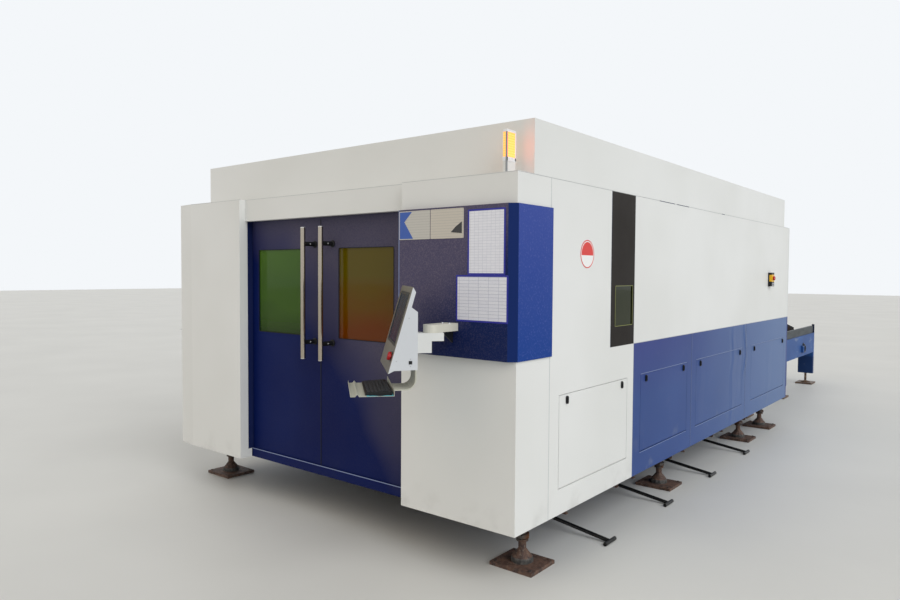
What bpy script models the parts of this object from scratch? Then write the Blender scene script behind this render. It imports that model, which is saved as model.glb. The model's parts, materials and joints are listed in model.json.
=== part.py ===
"""Fiber laser cutting machine with a pallet exchange table, in metres with +Z up.

While the pieces are made, X = 0 is the machine's right long side and X grows outwards from it,
Y = 0 is the front of the two front cabinets and Y grows towards the rear, and Z = 0 is the floor.
At the end one empty carries every piece and puts the middle of the footprint at the origin.
"""
import math

import bmesh
import bpy
from mathutils import Matrix, Vector

# Sheet, clearances and roundness shared by all pieces
SHEET = 0.002
FIT = 0.0003
OVERRUN = 0.01
ROUND_SIDES = 20
SMALL_SIDES = 12
FULL_TURN = 2 * math.pi
QUARTER_TURN = math.pi / 2
MERGE = 0.000001

# Enclosure: its width fits the pallets with a bed beam on each side of them
BODY_BOTTOM = 0.285
BODY_HEIGHT = 1.82
BODY_TOP = BODY_BOTTOM + BODY_HEIGHT
LIP = 0.040
PALLET_WIDTH = 1.90
PALLET_SIDE_GAP = 0.09
BED_BEAM_WIDTH = 0.30
BED_BEAM_INSET = 0.21
RIGHT = 0.0
BED_BEAM_OUTER = RIGHT - BED_BEAM_INSET
BEAM_INNER = BED_BEAM_OUTER - BED_BEAM_WIDTH
MIDDLE = BEAM_INNER - PALLET_SIDE_GAP - PALLET_WIDTH / 2
LEFT = 2 * MIDDLE - RIGHT
BODY_WIDTH = RIGHT - LEFT

# Cabinets on both sides of the door recess
RIGHT_CABINET_WIDTH = 0.77
LEFT_CABINET_WIDTH = 0.79
RECESS_RIGHT = RIGHT - RIGHT_CABINET_WIDTH
RECESS_LEFT = LEFT + LEFT_CABINET_WIDTH
WALL_TOP = BODY_TOP - SHEET - FIT
LEFT_FOLD_WIDTH = 0.175
LEFT_FOLD_DROP = 0.019

# Panels of the right long side from the front to the rear
CABINET_DEPTH = 0.32
WHITE_LENGTH = 1.045
LOW_FRONT_LENGTH = 1.05
LOW_MIDDLE_LENGTH = 1.375
LOW_REAR_LENGTH = 1.45
LOWER_HEIGHT = 0.87
WHITE_END = CABINET_DEPTH + WHITE_LENGTH
PANEL_SEAM_ONE = WHITE_END + LOW_FRONT_LENGTH
PANEL_SEAM_TWO = PANEL_SEAM_ONE + LOW_MIDDLE_LENGTH
SIDE_END = PANEL_SEAM_TWO + LOW_REAR_LENGTH
BODY_LENGTH = SIDE_END + LIP
STRIP_BOTTOM = BODY_BOTTOM + LOWER_HEIGHT

# Dark strip beside the white front panel, with its window
STRIP_WIDTH = 0.335
STRIP_START = WHITE_END - STRIP_WIDTH
STRIP_WINDOW_INSET_FRONT = 0.06
STRIP_WINDOW_INSET_REAR = 0.028
STRIP_WINDOW_RISE = 0.125
STRIP_WINDOW_HEIGHT = 0.248
STRIP_WINDOW_BOTTOM = STRIP_BOTTOM + STRIP_WINDOW_RISE
STRIP_WINDOW_TOP = STRIP_WINDOW_BOTTOM + STRIP_WINDOW_HEIGHT

# Depths of the front: cabinet returns, doors behind them, header channel and sill
RETURN_DEPTH = 0.095
DOOR_CLEARANCE = 0.015
DOOR_THICKNESS = 0.04
TRACK_CLEARANCE = 0.02
SILL_CLEARANCE = 0.005
SILL_DEPTH = 0.10
HEADER_FRONT = 0.05
DOOR_FRONT = RETURN_DEPTH + DOOR_CLEARANCE
DOOR_BACK = DOOR_FRONT + DOOR_THICKNESS
HEADER_BACK = DOOR_BACK + TRACK_CLEARANCE
SILL_FRONT = RETURN_DEPTH + SILL_CLEARANCE
SILL_BACK = SILL_FRONT + SILL_DEPTH

# Heights of the header and the sill
HEADER_HEIGHT = 0.15
HEADER_BOTTOM = BODY_TOP - HEADER_HEIGHT
HEADER_BACK_DROP = 0.11
SILL_HEIGHT = 0.045
SILL_TOP = BODY_BOTTOM + SILL_HEIGHT
SILL_LIP = 0.015
SILL_SHEET = 0.004

# Sliding doors
LEFT_DOOR_LAP = 0.105
RIGHT_DOOR_LAP = 0.015
DOOR_WIDTH = (RECESS_RIGHT - RECESS_LEFT + LEFT_DOOR_LAP + RIGHT_DOOR_LAP) / 2
DOOR_TOP_GAP = 0.0027
DOOR_TOP = WALL_TOP - HEADER_BACK_DROP - DOOR_TOP_GAP
DOOR_MEETING = RECESS_RIGHT + RIGHT_DOOR_LAP - DOOR_WIDTH
DOOR_MEETING_GAP = 0.001
WINDOW_WIDTH = 0.477
WINDOW_HEIGHT = 0.57
WINDOW_TOP_DROP = 0.235
WINDOW_TOP = DOOR_TOP - WINDOW_TOP_DROP
WINDOW_BOTTOM = WINDOW_TOP - WINDOW_HEIGHT
LEFT_WINDOW_INSET = 0.175
RIGHT_WINDOW_INSET = 0.174
PANE_THICKNESS = 0.008
PANE_RECESS = 0.005
HANDLE_RADIUS = 0.016
HANDLE_STAND = 0.10
HANDLE_LENGTH = 0.835
HANDLE_TOP_DROP = 0.105
HANDLE_TOP = DOOR_TOP - HANDLE_TOP_DROP
HANDLE_BOTTOM = HANDLE_TOP - HANDLE_LENGTH
LEFT_HANDLE_INSET = 0.053
RIGHT_HANDLE_INSET = 0.117
STANDOFF_RADIUS = 0.010
STANDOFF_INSET = 0.102

# Service covers: each keeps a margin to the front and rear seam of its panel
COVER_RISE = 0.14
COVER_HEIGHT = 0.515
COVER_BOTTOM = BODY_BOTTOM + COVER_RISE
COVER_TOP = COVER_BOTTOM + COVER_HEIGHT
COVER_GAP = 0.003
COVER_SHEET = 0.0015
CURL_RADIUS = 0.010
CURL_GAP = 0.0008
CURL_STEPS = 5
WHITE_COVER_LEAD = 0.105
WHITE_COVER_TRAIL = 0.09
FRONT_COVER_LEAD = 0.12
FRONT_COVER_TRAIL = 0.095
MIDDLE_COVER_LEAD = 0.105
MIDDLE_COVER_TRAIL = 0.10
REAR_COVER_LEAD = 0.18
REAR_COVER_TRAIL = 0.09
WHITE_COVER_FRONT = CABINET_DEPTH + WHITE_COVER_LEAD
WHITE_COVER_REAR = WHITE_END - WHITE_COVER_TRAIL
FRONT_COVER_FRONT = WHITE_END + FRONT_COVER_LEAD
FRONT_COVER_REAR = PANEL_SEAM_ONE - FRONT_COVER_TRAIL
MIDDLE_COVER_FRONT = PANEL_SEAM_ONE + MIDDLE_COVER_LEAD
MIDDLE_COVER_REAR = PANEL_SEAM_TWO - MIDDLE_COVER_TRAIL
REAR_COVER_FRONT = PANEL_SEAM_TWO + REAR_COVER_LEAD
REAR_COVER_REAR = SIDE_END - REAR_COVER_TRAIL
LATCH_INSET = 0.080
LATCH_DROP = 0.032
LATCH_WIDTH = 0.020
LATCH_HEIGHT = 0.045
LATCH_THICKNESS = 0.009
LATCH_SHANK_RADIUS = 0.007
LATCH_SHANK_FIT = 0.0004
LATCH_HEAD_RADIUS = 0.011
LATCH_HEAD_THICKNESS = 0.005

# Roof housing with the brim that closes the tops of the walls
ROOF_HEIGHT = 0.28
ROOF_TOP = BODY_TOP + ROOF_HEIGHT
ROOF_FRONT = 0.15
ROOF_REAR_INSET = 0.23
ROOF_REAR = BODY_LENGTH - ROOF_REAR_INSET
ROOF_LEFT_INSET = 0.20

# Blue box wrapped round the corner of the right cabinet
WRAP_STAND_FRONT = 0.035
WRAP_STAND_SIDE = 0.008
WRAP_CHAMFER = 0.038
WRAP_LEFT_INSET = 0.010
WRAP_SEAM_LAP = 0.01
WRAP_REAR = CABINET_DEPTH + WRAP_SEAM_LAP
WRAP_TOP_DROP = 0.159
WRAP_HEIGHT = 0.783
WRAP_TOP = BODY_TOP - WRAP_TOP_DROP
WRAP_BOTTOM = WRAP_TOP - WRAP_HEIGHT

# Signal light on the ledge above the right cabinet
BEACON_THICKNESS = 0.025
BEACON_WIDTH = 0.080
BEACON_SIDE_INSET = 0.080
BEACON_FRONT_INSET = 0.020
BEACON_BASE_HEIGHT = 0.060
BEACON_LENS_HEIGHT = 0.150
BEACON_ROUND = 0.004

# Stop box near the rear of the right side
STOP_BOX_INSET = 0.76
STOP_BOX_START = SIDE_END - STOP_BOX_INSET
STOP_BOX_WIDTH = 0.090
STOP_BOX_RISE = 0.335
STOP_BOX_BOTTOM = STRIP_BOTTOM + STOP_BOX_RISE
STOP_BOX_HEIGHT = 0.135
STOP_BOX_DEPTH = 0.035
STOP_BUTTON_RISE = 0.080

# Push buttons
STOP_CAP_RADIUS = 0.020
STOP_CAP_HEIGHT = 0.014
STOP_STEM_RADIUS = 0.011
STOP_STEM_LENGTH = 0.018
START_CAP_RADIUS = 0.013
START_CAP_HEIGHT = 0.007
START_STEM_RADIUS = 0.008
START_STEM_LENGTH = 0.014
BUTTON_TRAVEL = 0.005
BUTTON_FIT = 0.0003

# Pallets, their two levels and the ledges that carry them
SLAT_COUNT = 22
SLAT_PITCH = 0.134
PALLET_LENGTH = SLAT_PITCH * (SLAT_COUNT + 1)
PALLET_FRAME_HEIGHT = 0.070
PALLET_BAR_WIDTH = 0.050
PALLET_HEIGHT = 0.160
SLAT_THICKNESS = 0.005
SLAT_BOTTOM = 0.030
SLAT_SEAT = 0.030
TOOTH_COUNT = 10
TOOTH_DEPTH = 0.045
LOWER_LEVEL_RISE = 0.245
LEVEL_CLEARANCE = 0.025
LOWER_LEVEL = BODY_BOTTOM + LOWER_LEVEL_RISE
UPPER_LEVEL = LOWER_LEVEL + PALLET_HEIGHT + LEVEL_CLEARANCE
LEDGE_THICKNESS = 0.015
LEDGE_LAP = 0.10
PALLET_WALL_GAP = 0.14
PALLET_PARTING = 1.22
OUTER_PALLET_START = BODY_LENGTH + PALLET_WALL_GAP
PALLET_TRAVEL = PALLET_LENGTH + PALLET_PARTING
INNER_PALLET_START = OUTER_PALLET_START - PALLET_TRAVEL
LEDGE_LEAD = 0.10

# Welded main frame
BASE_BAR_WIDTH = 0.21
BASE_BAR_HEIGHT = 0.06
POST_WIDTH = 0.06
FRAME_FRONT_GAP = 0.015
FRAME_REAR_GAP = 0.04
FRAME_FRONT = CABINET_DEPTH + FRAME_FRONT_GAP
FRAME_REAR = SIDE_END - FRAME_REAR_GAP
TOP_BAR_HEIGHT = 0.06
BED_BEAM_HEIGHT = 0.605
BED_BEAM_BOTTOM = BODY_BOTTOM + BASE_BAR_HEIGHT
BED_BEAM_TOP = BED_BEAM_BOTTOM + BED_BEAM_HEIGHT
BED_LEAD = 0.115
BED_FRONT = FRAME_FRONT + BED_LEAD
RAIL_WIDTH = 0.04
RAIL_HEIGHT = 0.03
CROSS_BAR_WIDTH = 0.12

# Exchange table
TABLE_BEAM_WIDTH = 0.060
TABLE_BEAM_DROP = 0.058
TABLE_BEAM_RISE = 0.040
TABLE_BEAM_BOTTOM = LOWER_LEVEL - TABLE_BEAM_DROP
TABLE_BEAM_TOP = UPPER_LEVEL + TABLE_BEAM_RISE
TABLE_OVERRUN = 0.048
TABLE_END = OUTER_PALLET_START + PALLET_LENGTH + TABLE_OVERRUN
TABLE_SPREAD = 0.060
TABLE_INNER = BEAM_INNER + TABLE_SPREAD
TABLE_OUTER = TABLE_INNER + TABLE_BEAM_WIDTH
TABLE_CROSS_HEIGHT = 0.06
TABLE_LEG_WIDTH = 0.20
TABLE_LEG_BOTTOM = 0.155
TABLE_STEM_RADIUS = 0.016
TABLE_STEM_HOLD = 0.03
TABLE_PLATE_LENGTH = 0.22
TABLE_PLATE_WIDTH = 0.25
GUIDE_INSET = 0.010
GUIDE_WIDTH = 0.030
GUIDE_HEIGHT = 0.105
END_POST_WIDTH = 0.030
END_POST_HEIGHT = 0.125
TABLE_MIDDLE = (BODY_LENGTH + TABLE_END) / 2
EXCHANGE_OPENING_MARGIN = 0.02
EXCHANGE_OPENING_DROP = 0.03
EXCHANGE_OPENING_RISE = 0.055
EXCHANGE_OPENING_BOTTOM = LOWER_LEVEL - EXCHANGE_OPENING_DROP
EXCHANGE_OPENING_TOP = UPPER_LEVEL + PALLET_HEIGHT + EXCHANGE_OPENING_RISE

# Slag drawers under the bed and the long bars that pull them out
DRAWER_COUNT = 4
DRAWER_START = 0.92
DRAWER_PITCH = 0.905
DRAWER_PLACES = tuple(DRAWER_START + DRAWER_PITCH * number for number in range(DRAWER_COUNT))
DRAWER_LENGTH = 1.30
DRAWER_INSET = 0.90
DRAWER_WIDTH = 0.60
DRAWER_DROP = 0.0417
DRAWER_HEIGHT = 0.1433
DRAWER_TOP = BODY_BOTTOM - DRAWER_DROP
DRAWER_BOTTOM = DRAWER_TOP - DRAWER_HEIGHT
DRAWER_LIP = 0.025
DRAWER_SHEET = 0.003
RUNNER_THICKNESS = 0.006
RUNNER_LEG = 0.024
RUNNER_GAP = 0.004
EAR_THICKNESS = 0.008
EAR_SPACING = 0.030
EAR_REACH = 0.032
EAR_HEIGHT = 0.040
PULL_PIN_RISE = 0.048
PULL_PIN_HEIGHT = DRAWER_BOTTOM + PULL_PIN_RISE
PULL_PIN_REACH = 0.018
PULL_PIN_RADIUS = 0.006
PULL_BAR_RADIUS = 0.012
PULL_BAR_END = 0.070
PULL_CROSS_LENGTH = 0.130
PULL_EYE_RADIUS = 0.013
PULL_EYE_WIDTH = 0.016
PULL_EYE_FIT = 0.0004

# Levelling feet between the drawers, and the floor plates under them
FOOT_INSET = 0.17
SECOND_FOOT_LEAD = 0.41
THIRD_FOOT_LEAD = 0.555
LAST_FOOT_INSET = 0.32
FOOT_PLACES = (FRAME_FRONT, DRAWER_PLACES[1] + SECOND_FOOT_LEAD,
               DRAWER_PLACES[-1] + THIRD_FOOT_LEAD, SIDE_END - LAST_FOOT_INSET)
PLATE_LENGTH = 0.27
PLATE_WIDTH = 0.24
PLATE_THICKNESS = 0.020
PAD_RADIUS = 0.062
PAD_HEIGHT = 0.022
PAD_NECK = 0.050
STEM_RADIUS = 0.022
NUT_RADIUS = 0.036
NUT_HEIGHT = 0.028
NUT_DROP = 0.045

# Gantry, cross carriage and cutting head
GANTRY_REST = 0.72
GANTRY_BLOCK_LENGTH = 0.38
GANTRY_BLOCK_WIDTH = 0.20
GANTRY_BLOCK_HEIGHT = 0.05
GANTRY_BEAM_DEPTH = 0.22
GANTRY_BEAM_HEIGHT = 0.24
CARRIAGE_WIDTH = 0.36
CARRIAGE_DEPTH = 0.08
CARRIAGE_HEIGHT = 0.34
CARRIAGE_DROP = 0.02
HEAD_RADIUS = 0.055
HEAD_CLEARANCE = 0.055
HEAD_HEIGHT = 0.53
HEAD_TIP = UPPER_LEVEL + PALLET_HEIGHT + HEAD_CLEARANCE
HEAD_TOP = HEAD_TIP + HEAD_HEIGHT
HEAD_TIP_RADIUS = 0.006
HEAD_NOZZLE_HEIGHT = 0.05
HEAD_TAPER_HEIGHT = 0.13
HEAD_CABLE_RADIUS = 0.018
HEAD_CABLE_HEIGHT = 0.06
HEAD_BLOCK_WIDTH = 0.09
HEAD_BLOCK_RISE = 0.17
HEAD_BLOCK_HEIGHT = 0.24
HEAD_BLOCK_BOTTOM = HEAD_TIP + HEAD_BLOCK_RISE
HEAD_BLOCK_TOP = HEAD_BLOCK_BOTTOM + HEAD_BLOCK_HEIGHT
HEAD_STAND = 0.085

# Control pendant: its bracket on the blue box and its neck
SWIVEL_INSET = 0.377
SWIVEL_STAND = 0.173
SWIVEL_X = RIGHT - SWIVEL_INSET
SWIVEL_Y = -WRAP_STAND_FRONT - SWIVEL_STAND
PENDANT_YAW = math.radians(41.4)
BRACKET_WIDTH = 0.077
BRACKET_RISE = 0.139
BRACKET_BOTTOM = WRAP_BOTTOM + BRACKET_RISE
BRACKET_THICKNESS = 0.040
GUSSET_THICKNESS = 0.010
GUSSET_HEIGHT = 0.065
GUSSET_LENGTH = 0.090
NECK_BACK = 0.061
NECK_WIDTH = 0.080
NECK_PLATE = 0.040
NECK_BLOCK = 0.059

# The pendant's case, measured down from the bracket and then up and down from its own bottom
CASE_STAND = 0.096
CASE_WIDTH = 0.50
CASE_DROP = 0.154
CASE_BOTTOM = BRACKET_BOTTOM - CASE_DROP
CASE_SHOULDER_RISE = 0.271
CASE_SHELF_RISE = 0.021
CASE_BACK_RISE = 0.071
CASE_CROWN_RISE = 0.024
CASE_SHOULDER = CASE_BOTTOM + CASE_SHOULDER_RISE
CASE_SHELF = CASE_SHOULDER + CASE_SHELF_RISE
CASE_BACK_TOP = CASE_SHELF + CASE_BACK_RISE
CASE_TOP = CASE_BACK_TOP + CASE_CROWN_RISE
CASE_NOTCH_DROP = 0.003
CASE_NOSE_DROP = 0.017
CASE_NOTCH = CASE_BOTTOM - CASE_NOTCH_DROP
CASE_NOSE = CASE_BOTTOM - CASE_NOSE_DROP
CASE_SHELF_DEPTH = 0.029
CASE_BACK_TOP_DEPTH = 0.009
CASE_TOP_DEPTH = 0.023
CASE_NOTCH_DEPTH = 0.110
CASE_NOSE_REACH = 0.029
CASE_NOSE_DEPTH = CASE_NOTCH_DEPTH + CASE_NOSE_REACH
SCREEN_SIDE_MARGIN = 0.07
SCREEN_TOP_MARGIN = 0.035
SCREEN_RISE = 0.135
SCREEN_DEPTH = 0.004
SCREEN_WIDTH = CASE_WIDTH - 2 * SCREEN_SIDE_MARGIN
CASE_FACE_LENGTH = math.hypot(CASE_NOSE_DEPTH - CASE_TOP_DEPTH, CASE_TOP - CASE_NOSE)
SCREEN_HEIGHT = CASE_FACE_LENGTH - SCREEN_RISE - SCREEN_TOP_MARGIN
STOP_EDGE_INSET = 0.06
BUTTON_PITCH = 0.07
PENDANT_STOP_SIDE = CASE_WIDTH / 2 - STOP_EDGE_INSET
PENDANT_START_SIDE = PENDANT_STOP_SIDE - BUTTON_PITCH
PENDANT_BUTTON_RISE = 0.078

# Keyboard tray hung under the case, and the keyboard in it
TRAY_SHEET = 0.0015
TRAY_WIDTH = 0.42
TRAY_NEAR = CASE_WIDTH / 2
TRAY_FAR = TRAY_NEAR - TRAY_WIDTH
TRAY_DROP = 0.119
TRAY_BOTTOM = CASE_BOTTOM - TRAY_DROP
TRAY_BACK_DEPTH = 0.109
TRAY_BACK_HEIGHT = 0.032
TRAY_LIP_HEIGHT = 0.012
TRAY_GROOVE_WIDTH = 0.040
TRAY_GROOVE_HEIGHT = 0.012
KEYBOARD_SIDE_MARGIN = 0.025
KEYBOARD_WIDTH = TRAY_WIDTH - 2 * KEYBOARD_SIDE_MARGIN
KEYBOARD_DEPTH = 0.125
KEYBOARD_THICKNESS = 0.018
KEYBOARD_FRONT_THICKNESS = 0.010
KEYBOARD_INSET = 0.008
TRAY_REST_DEPTH = 0.028
TRAY_FRONT_DEPTH = (TRAY_BACK_DEPTH + KEYBOARD_INSET + KEYBOARD_DEPTH + TRAY_REST_DEPTH
                    + TRAY_GROOVE_WIDTH)
STRAP_THICKNESS = 0.005
STRAP_WIDTH = 0.190
STRAP_DEPTH = 0.006
STRAP_RADIUS = 0.050
STRAP_RISE = 0.024
STRAP_LEVEL = TRAY_BOTTOM + STRAP_RISE
STRAP_STEPS = 6


def clear_scene():
    """Start from an empty scene."""
    for item in list(bpy.data.objects):
        bpy.data.objects.remove(item)


def finish(name, colour, roughness, metallic=0.0):
    """A plain Principled material."""
    material = bpy.data.materials.new(name)
    material.use_nodes = True
    shader = material.node_tree.nodes["Principled BSDF"]
    shader.inputs["Base Color"].default_value = (*colour, 1.0)
    shader.inputs["Roughness"].default_value = roughness
    shader.inputs["Metallic"].default_value = metallic
    return material


FINISHES = {
    "white": ((0.80, 0.80, 0.79), 0.40, 0.0),
    "blue": ((0.02, 0.05, 0.19), 0.45, 0.0),
    "dark_trim": ((0.03, 0.03, 0.04), 0.40, 0.0),
    "frame_blue": ((0.03, 0.10, 0.35), 0.50, 0.0),
    "amber_pane": ((0.35, 0.17, 0.02), 0.08, 0.0),
    "smoked_pane": ((0.03, 0.04, 0.03), 0.08, 0.0),
    "steel": ((0.45, 0.45, 0.46), 0.35, 1.0),
    "scale_steel": ((0.10, 0.09, 0.09), 0.60, 1.0),
    "lamp": ((0.90, 0.55, 0.05), 0.20, 0.0),
    "black": ((0.02, 0.02, 0.02), 0.40, 0.0),
    "red": ((0.60, 0.02, 0.02), 0.35, 0.0),
    "green": ((0.05, 0.45, 0.15), 0.35, 0.0),
    "yellow": ((0.85, 0.60, 0.02), 0.45, 0.0),
    "screen": ((0.01, 0.01, 0.02), 0.10, 0.0),
}


def place(name, mesh, finish_name, pivot=(0, 0, 0), smooth=None):
    """Make one named piece from a mesh in the working frame, with its origin at the pivot."""
    mesh.transform(Matrix.Translation(-Vector(pivot)))
    mesh.name = name
    mesh.materials.clear()
    mesh.materials.append(finish(name + "_" + finish_name, *FINISHES[finish_name]))
    if smooth is not None:
        mesh.shade_smooth()
        mesh.set_sharp_from_angle(angle=smooth)
    piece = bpy.data.objects.new(name, mesh)
    bpy.context.scene.collection.objects.link(piece)
    piece.location = pivot
    return piece


def mesh_from_faces(faces):
    """Mesh of the given rings of corners, sharing each corner where faces meet."""
    index = {}
    points = []
    rings = []
    for face in faces:
        ring = []
        for corner in face:
            key = tuple(round(value / MERGE) for value in corner)
            if key not in index:
                index[key] = len(points)
                points.append(Vector(corner))
            ring.append(index[key])
        rings.append(ring)
    mesh = bpy.data.meshes.new("shape")
    mesh.from_pydata(points, [], rings)
    mesh.update()
    return mesh


def baked(piece):
    """The evaluated mesh of a temporary object, which is then removed."""
    graph = bpy.context.evaluated_depsgraph_get()
    mesh = bpy.data.meshes.new_from_object(piece.evaluated_get(graph))
    bpy.data.objects.remove(piece)
    return mesh


def temporary(mesh):
    """A linked object that holds a mesh while a modifier works on it."""
    piece = bpy.data.objects.new("guide", mesh)
    bpy.context.scene.collection.objects.link(piece)
    return piece


def thickened(mesh, thickness):
    """A closed shell of the given thickness, grown inwards from an open sheet."""
    piece = temporary(mesh)
    solid = piece.modifiers.new("thickness", "SOLIDIFY")
    solid.thickness = thickness
    solid.offset = -1
    solid.use_even_offset = True
    solid.use_quality_normals = True
    bpy.context.view_layer.update()
    return baked(piece)


def combined(mesh, others, operation):
    """The Boolean union of a mesh with others, or what is left when they cut it."""
    piece = temporary(mesh)
    tools = [temporary(other) for other in others]
    for tool in tools:
        step = piece.modifiers.new("step", "BOOLEAN")
        step.operation = operation
        step.solver = "EXACT"
        step.object = tool
    bpy.context.view_layer.update()
    result = baked(piece)
    for tool in tools:
        bpy.data.objects.remove(tool)
    return result


def welded(mesh, others):
    return combined(mesh, others, "UNION")


def cut(mesh, others):
    return combined(mesh, others, "DIFFERENCE")


def folded_sheet(outer, inner, low, high, holes=(), thickness=SHEET):
    """A folded sheet panel standing upright along a line seen from above.

    The outer line runs with the outside on its right. Lips turn in from it to the inner line at
    the top, the bottom and both ends. A hole is (segment, start, end, bottom, top), measured
    along its segment, and has lips of the same depth; a hole at the panel's edge is a notch.
    """
    levels = sorted({low, high, *(hole[3] for hole in holes), *(hole[4] for hole in holes)})
    faces = []
    segments = range(len(outer) - 1)
    last = segments[-1]
    for segment in segments:
        start, end = Vector(outer[segment]), Vector(outer[segment + 1])
        inner_start, inner_end = Vector(inner[segment]), Vector(inner[segment + 1])
        length = (end - start).length
        inward = Vector((start.y - end.y, end.x - start.x)).normalized()
        lip = (inward * (inner_start - start).dot(inward)).to_3d()
        own = [hole for hole in holes if hole[0] == segment]
        stations = sorted({0.0, length, *(hole[1] for hole in own), *(hole[2] for hole in own)})
        columns = list(zip(stations, stations[1:]))
        rows = list(zip(levels, levels[1:]))

        def solid(column, row):
            if not (0 <= column < len(columns) and 0 <= row < len(rows)):
                return False
            across = sum(columns[column]) / 2
            up = sum(rows[row]) / 2
            return not any(hole[1] < across < hole[2] and hole[3] < up < hole[4] for hole in own)

        def outside(station, level):
            return start.lerp(end, station / length).to_3d() + Vector((0, 0, level))

        def inside(station, level):
            return inner_start.lerp(inner_end, station / length).to_3d() + Vector((0, 0, level))

        for column, (near, far) in enumerate(columns):
            for row, (bottom, top) in enumerate(rows):
                a, b = outside(near, bottom), outside(far, bottom)
                c, d = outside(far, top), outside(near, top)
                if not solid(column, row):
                    neighbours = ((a, b, 0, -1), (b, c, 1, 0), (c, d, 0, 1), (d, a, -1, 0))
                    for first, second, step, rise in neighbours:
                        if solid(column + step, row + rise):
                            faces.append((first, second, second + lip, first + lip))
                    continue
                faces.append((a, b, c, d))
                if row == 0:
                    faces.append((a, inside(near, bottom), inside(far, bottom), b))
                if row == len(rows) - 1:
                    faces.append((d, c, inside(far, top), inside(near, top)))
                if segment == 0 and column == 0:
                    faces.append((inside(near, bottom), a, d, inside(near, top)))
                if segment == last and column == len(columns) - 1:
                    faces.append((b, inside(far, bottom), inside(far, top), c))
    return thickened(mesh_from_faces(faces), thickness)


def profile_sheet(profile, run, thickness):
    """A sheet folded along a profile of points and extruded by the vector run."""
    faces = []
    for start, end in zip(profile, profile[1:]):
        start, end = Vector(start), Vector(end)
        faces.append((start, end, end + run, start + run))
    return thickened(mesh_from_faces(faces), thickness)


def prism(outline, run):
    """A solid with the given flat outline, extruded by the vector run."""
    ring = [Vector(point) for point in outline]
    normal = sum((a.cross(b) for a, b in zip(ring, ring[1:] + ring[:1])), Vector())
    if normal.dot(run) > 0:
        ring.reverse()
    far = [point + run for point in ring]
    faces = [ring, far[::-1]]
    for index, point in enumerate(ring):
        after = (index + 1) % len(ring)
        faces.append((point, far[index], far[after], ring[after]))
    return mesh_from_faces(faces)


def block(low, high):
    """A square-edged block between two corners."""
    x0, y0, z0 = low
    x1, y1, z1 = high
    outline = ((x0, y0, z0), (x1, y0, z0), (x1, y1, z0), (x0, y1, z0))
    return prism(outline, Vector((0, 0, z1 - z0)))


def turned(profile, sides=ROUND_SIDES):
    """A solid turned about Z from (radius, height) points, listed from the bottom to the top."""
    rings = []
    for radius, height in profile:
        rings.append([Vector((radius * math.cos(FULL_TURN * side / sides),
                              radius * math.sin(FULL_TURN * side / sides), height))
                      for side in range(sides)])
    faces = [rings[0][::-1], rings[-1]]
    for below, above in zip(rings, rings[1:]):
        for side in range(sides):
            after = (side + 1) % sides
            faces.append((below[side], below[after], above[after], above[side]))
    return mesh_from_faces(faces)


def rod(start, end, radius, sides=ROUND_SIDES):
    """A round bar between two points."""
    start, end = Vector(start), Vector(end)
    mesh = turned(((radius, 0), (radius, (end - start).length)), sides)
    turn = (end - start).to_track_quat("Z", "Y").to_matrix().to_4x4()
    mesh.transform(Matrix.Translation(start) @ turn)
    return mesh


def welded_bars(bars):
    """The outer surface of square-edged bars, each (low corner, high corner), as one weldment."""
    def snapped(value):
        return round(value / MERGE) * MERGE

    bars = [tuple(tuple(snapped(value) for value in corner) for corner in bar) for bar in bars]
    lines = [sorted({corner[axis] for bar in bars for corner in bar}) for axis in range(3)]
    place_of = [{value: index for index, value in enumerate(line)} for line in lines]
    filled = set()
    for low, high in bars:
        spans = [range(place_of[axis][low[axis]], place_of[axis][high[axis]]) for axis in range(3)]
        filled.update((i, j, k) for i in spans[0] for j in spans[1] for k in spans[2])
    sides = (((-1, 0, 0), ((0, 0, 0), (0, 0, 1), (0, 1, 1), (0, 1, 0))),
             ((1, 0, 0), ((1, 0, 0), (1, 1, 0), (1, 1, 1), (1, 0, 1))),
             ((0, -1, 0), ((0, 0, 0), (1, 0, 0), (1, 0, 1), (0, 0, 1))),
             ((0, 1, 0), ((0, 1, 0), (0, 1, 1), (1, 1, 1), (1, 1, 0))),
             ((0, 0, -1), ((0, 0, 0), (0, 1, 0), (1, 1, 0), (1, 0, 0))),
             ((0, 0, 1), ((0, 0, 1), (1, 0, 1), (1, 1, 1), (0, 1, 1))))
    faces = []
    for cell in sorted(filled):
        for step, corners in sides:
            if tuple(cell[axis] + step[axis] for axis in range(3)) not in filled:
                faces.append([tuple(lines[axis][cell[axis] + corner[axis]] for axis in range(3))
                              for corner in corners])
    mesh = mesh_from_faces(faces)
    edit = bmesh.new()
    edit.from_mesh(mesh)
    bmesh.ops.dissolve_limit(edit, angle_limit=math.radians(1), verts=edit.verts, edges=edit.edges)
    edit.to_mesh(mesh)
    edit.free()
    return mesh


def mirrored_bar(bar):
    """The same bar on the machine's left side."""
    (x0, y0, z0), (x1, y1, z1) = bar
    return (2 * MIDDLE - x1, y0, z0), (2 * MIDDLE - x0, y1, z1)


def side_panel(start, end, low, high, holes=()):
    """A cassette of the right long side between two places along Y."""
    outer = ((RIGHT, start + FIT / 2), (RIGHT, end - FIT / 2))
    inner = ((RIGHT - LIP, start + FIT / 2), (RIGHT - LIP, end - FIT / 2))
    shifted = [(0, near - start - FIT / 2, far - start - FIT / 2, bottom, top)
               for near, far, bottom, top in holes]
    return folded_sheet(outer, inner, low, high, shifted)


def cover_hole(front, rear):
    """The opening in a side panel for the service cover between two places along Y."""
    return front - COVER_GAP, rear + COVER_GAP, COVER_BOTTOM - CURL_GAP, COVER_TOP + COVER_GAP


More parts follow.
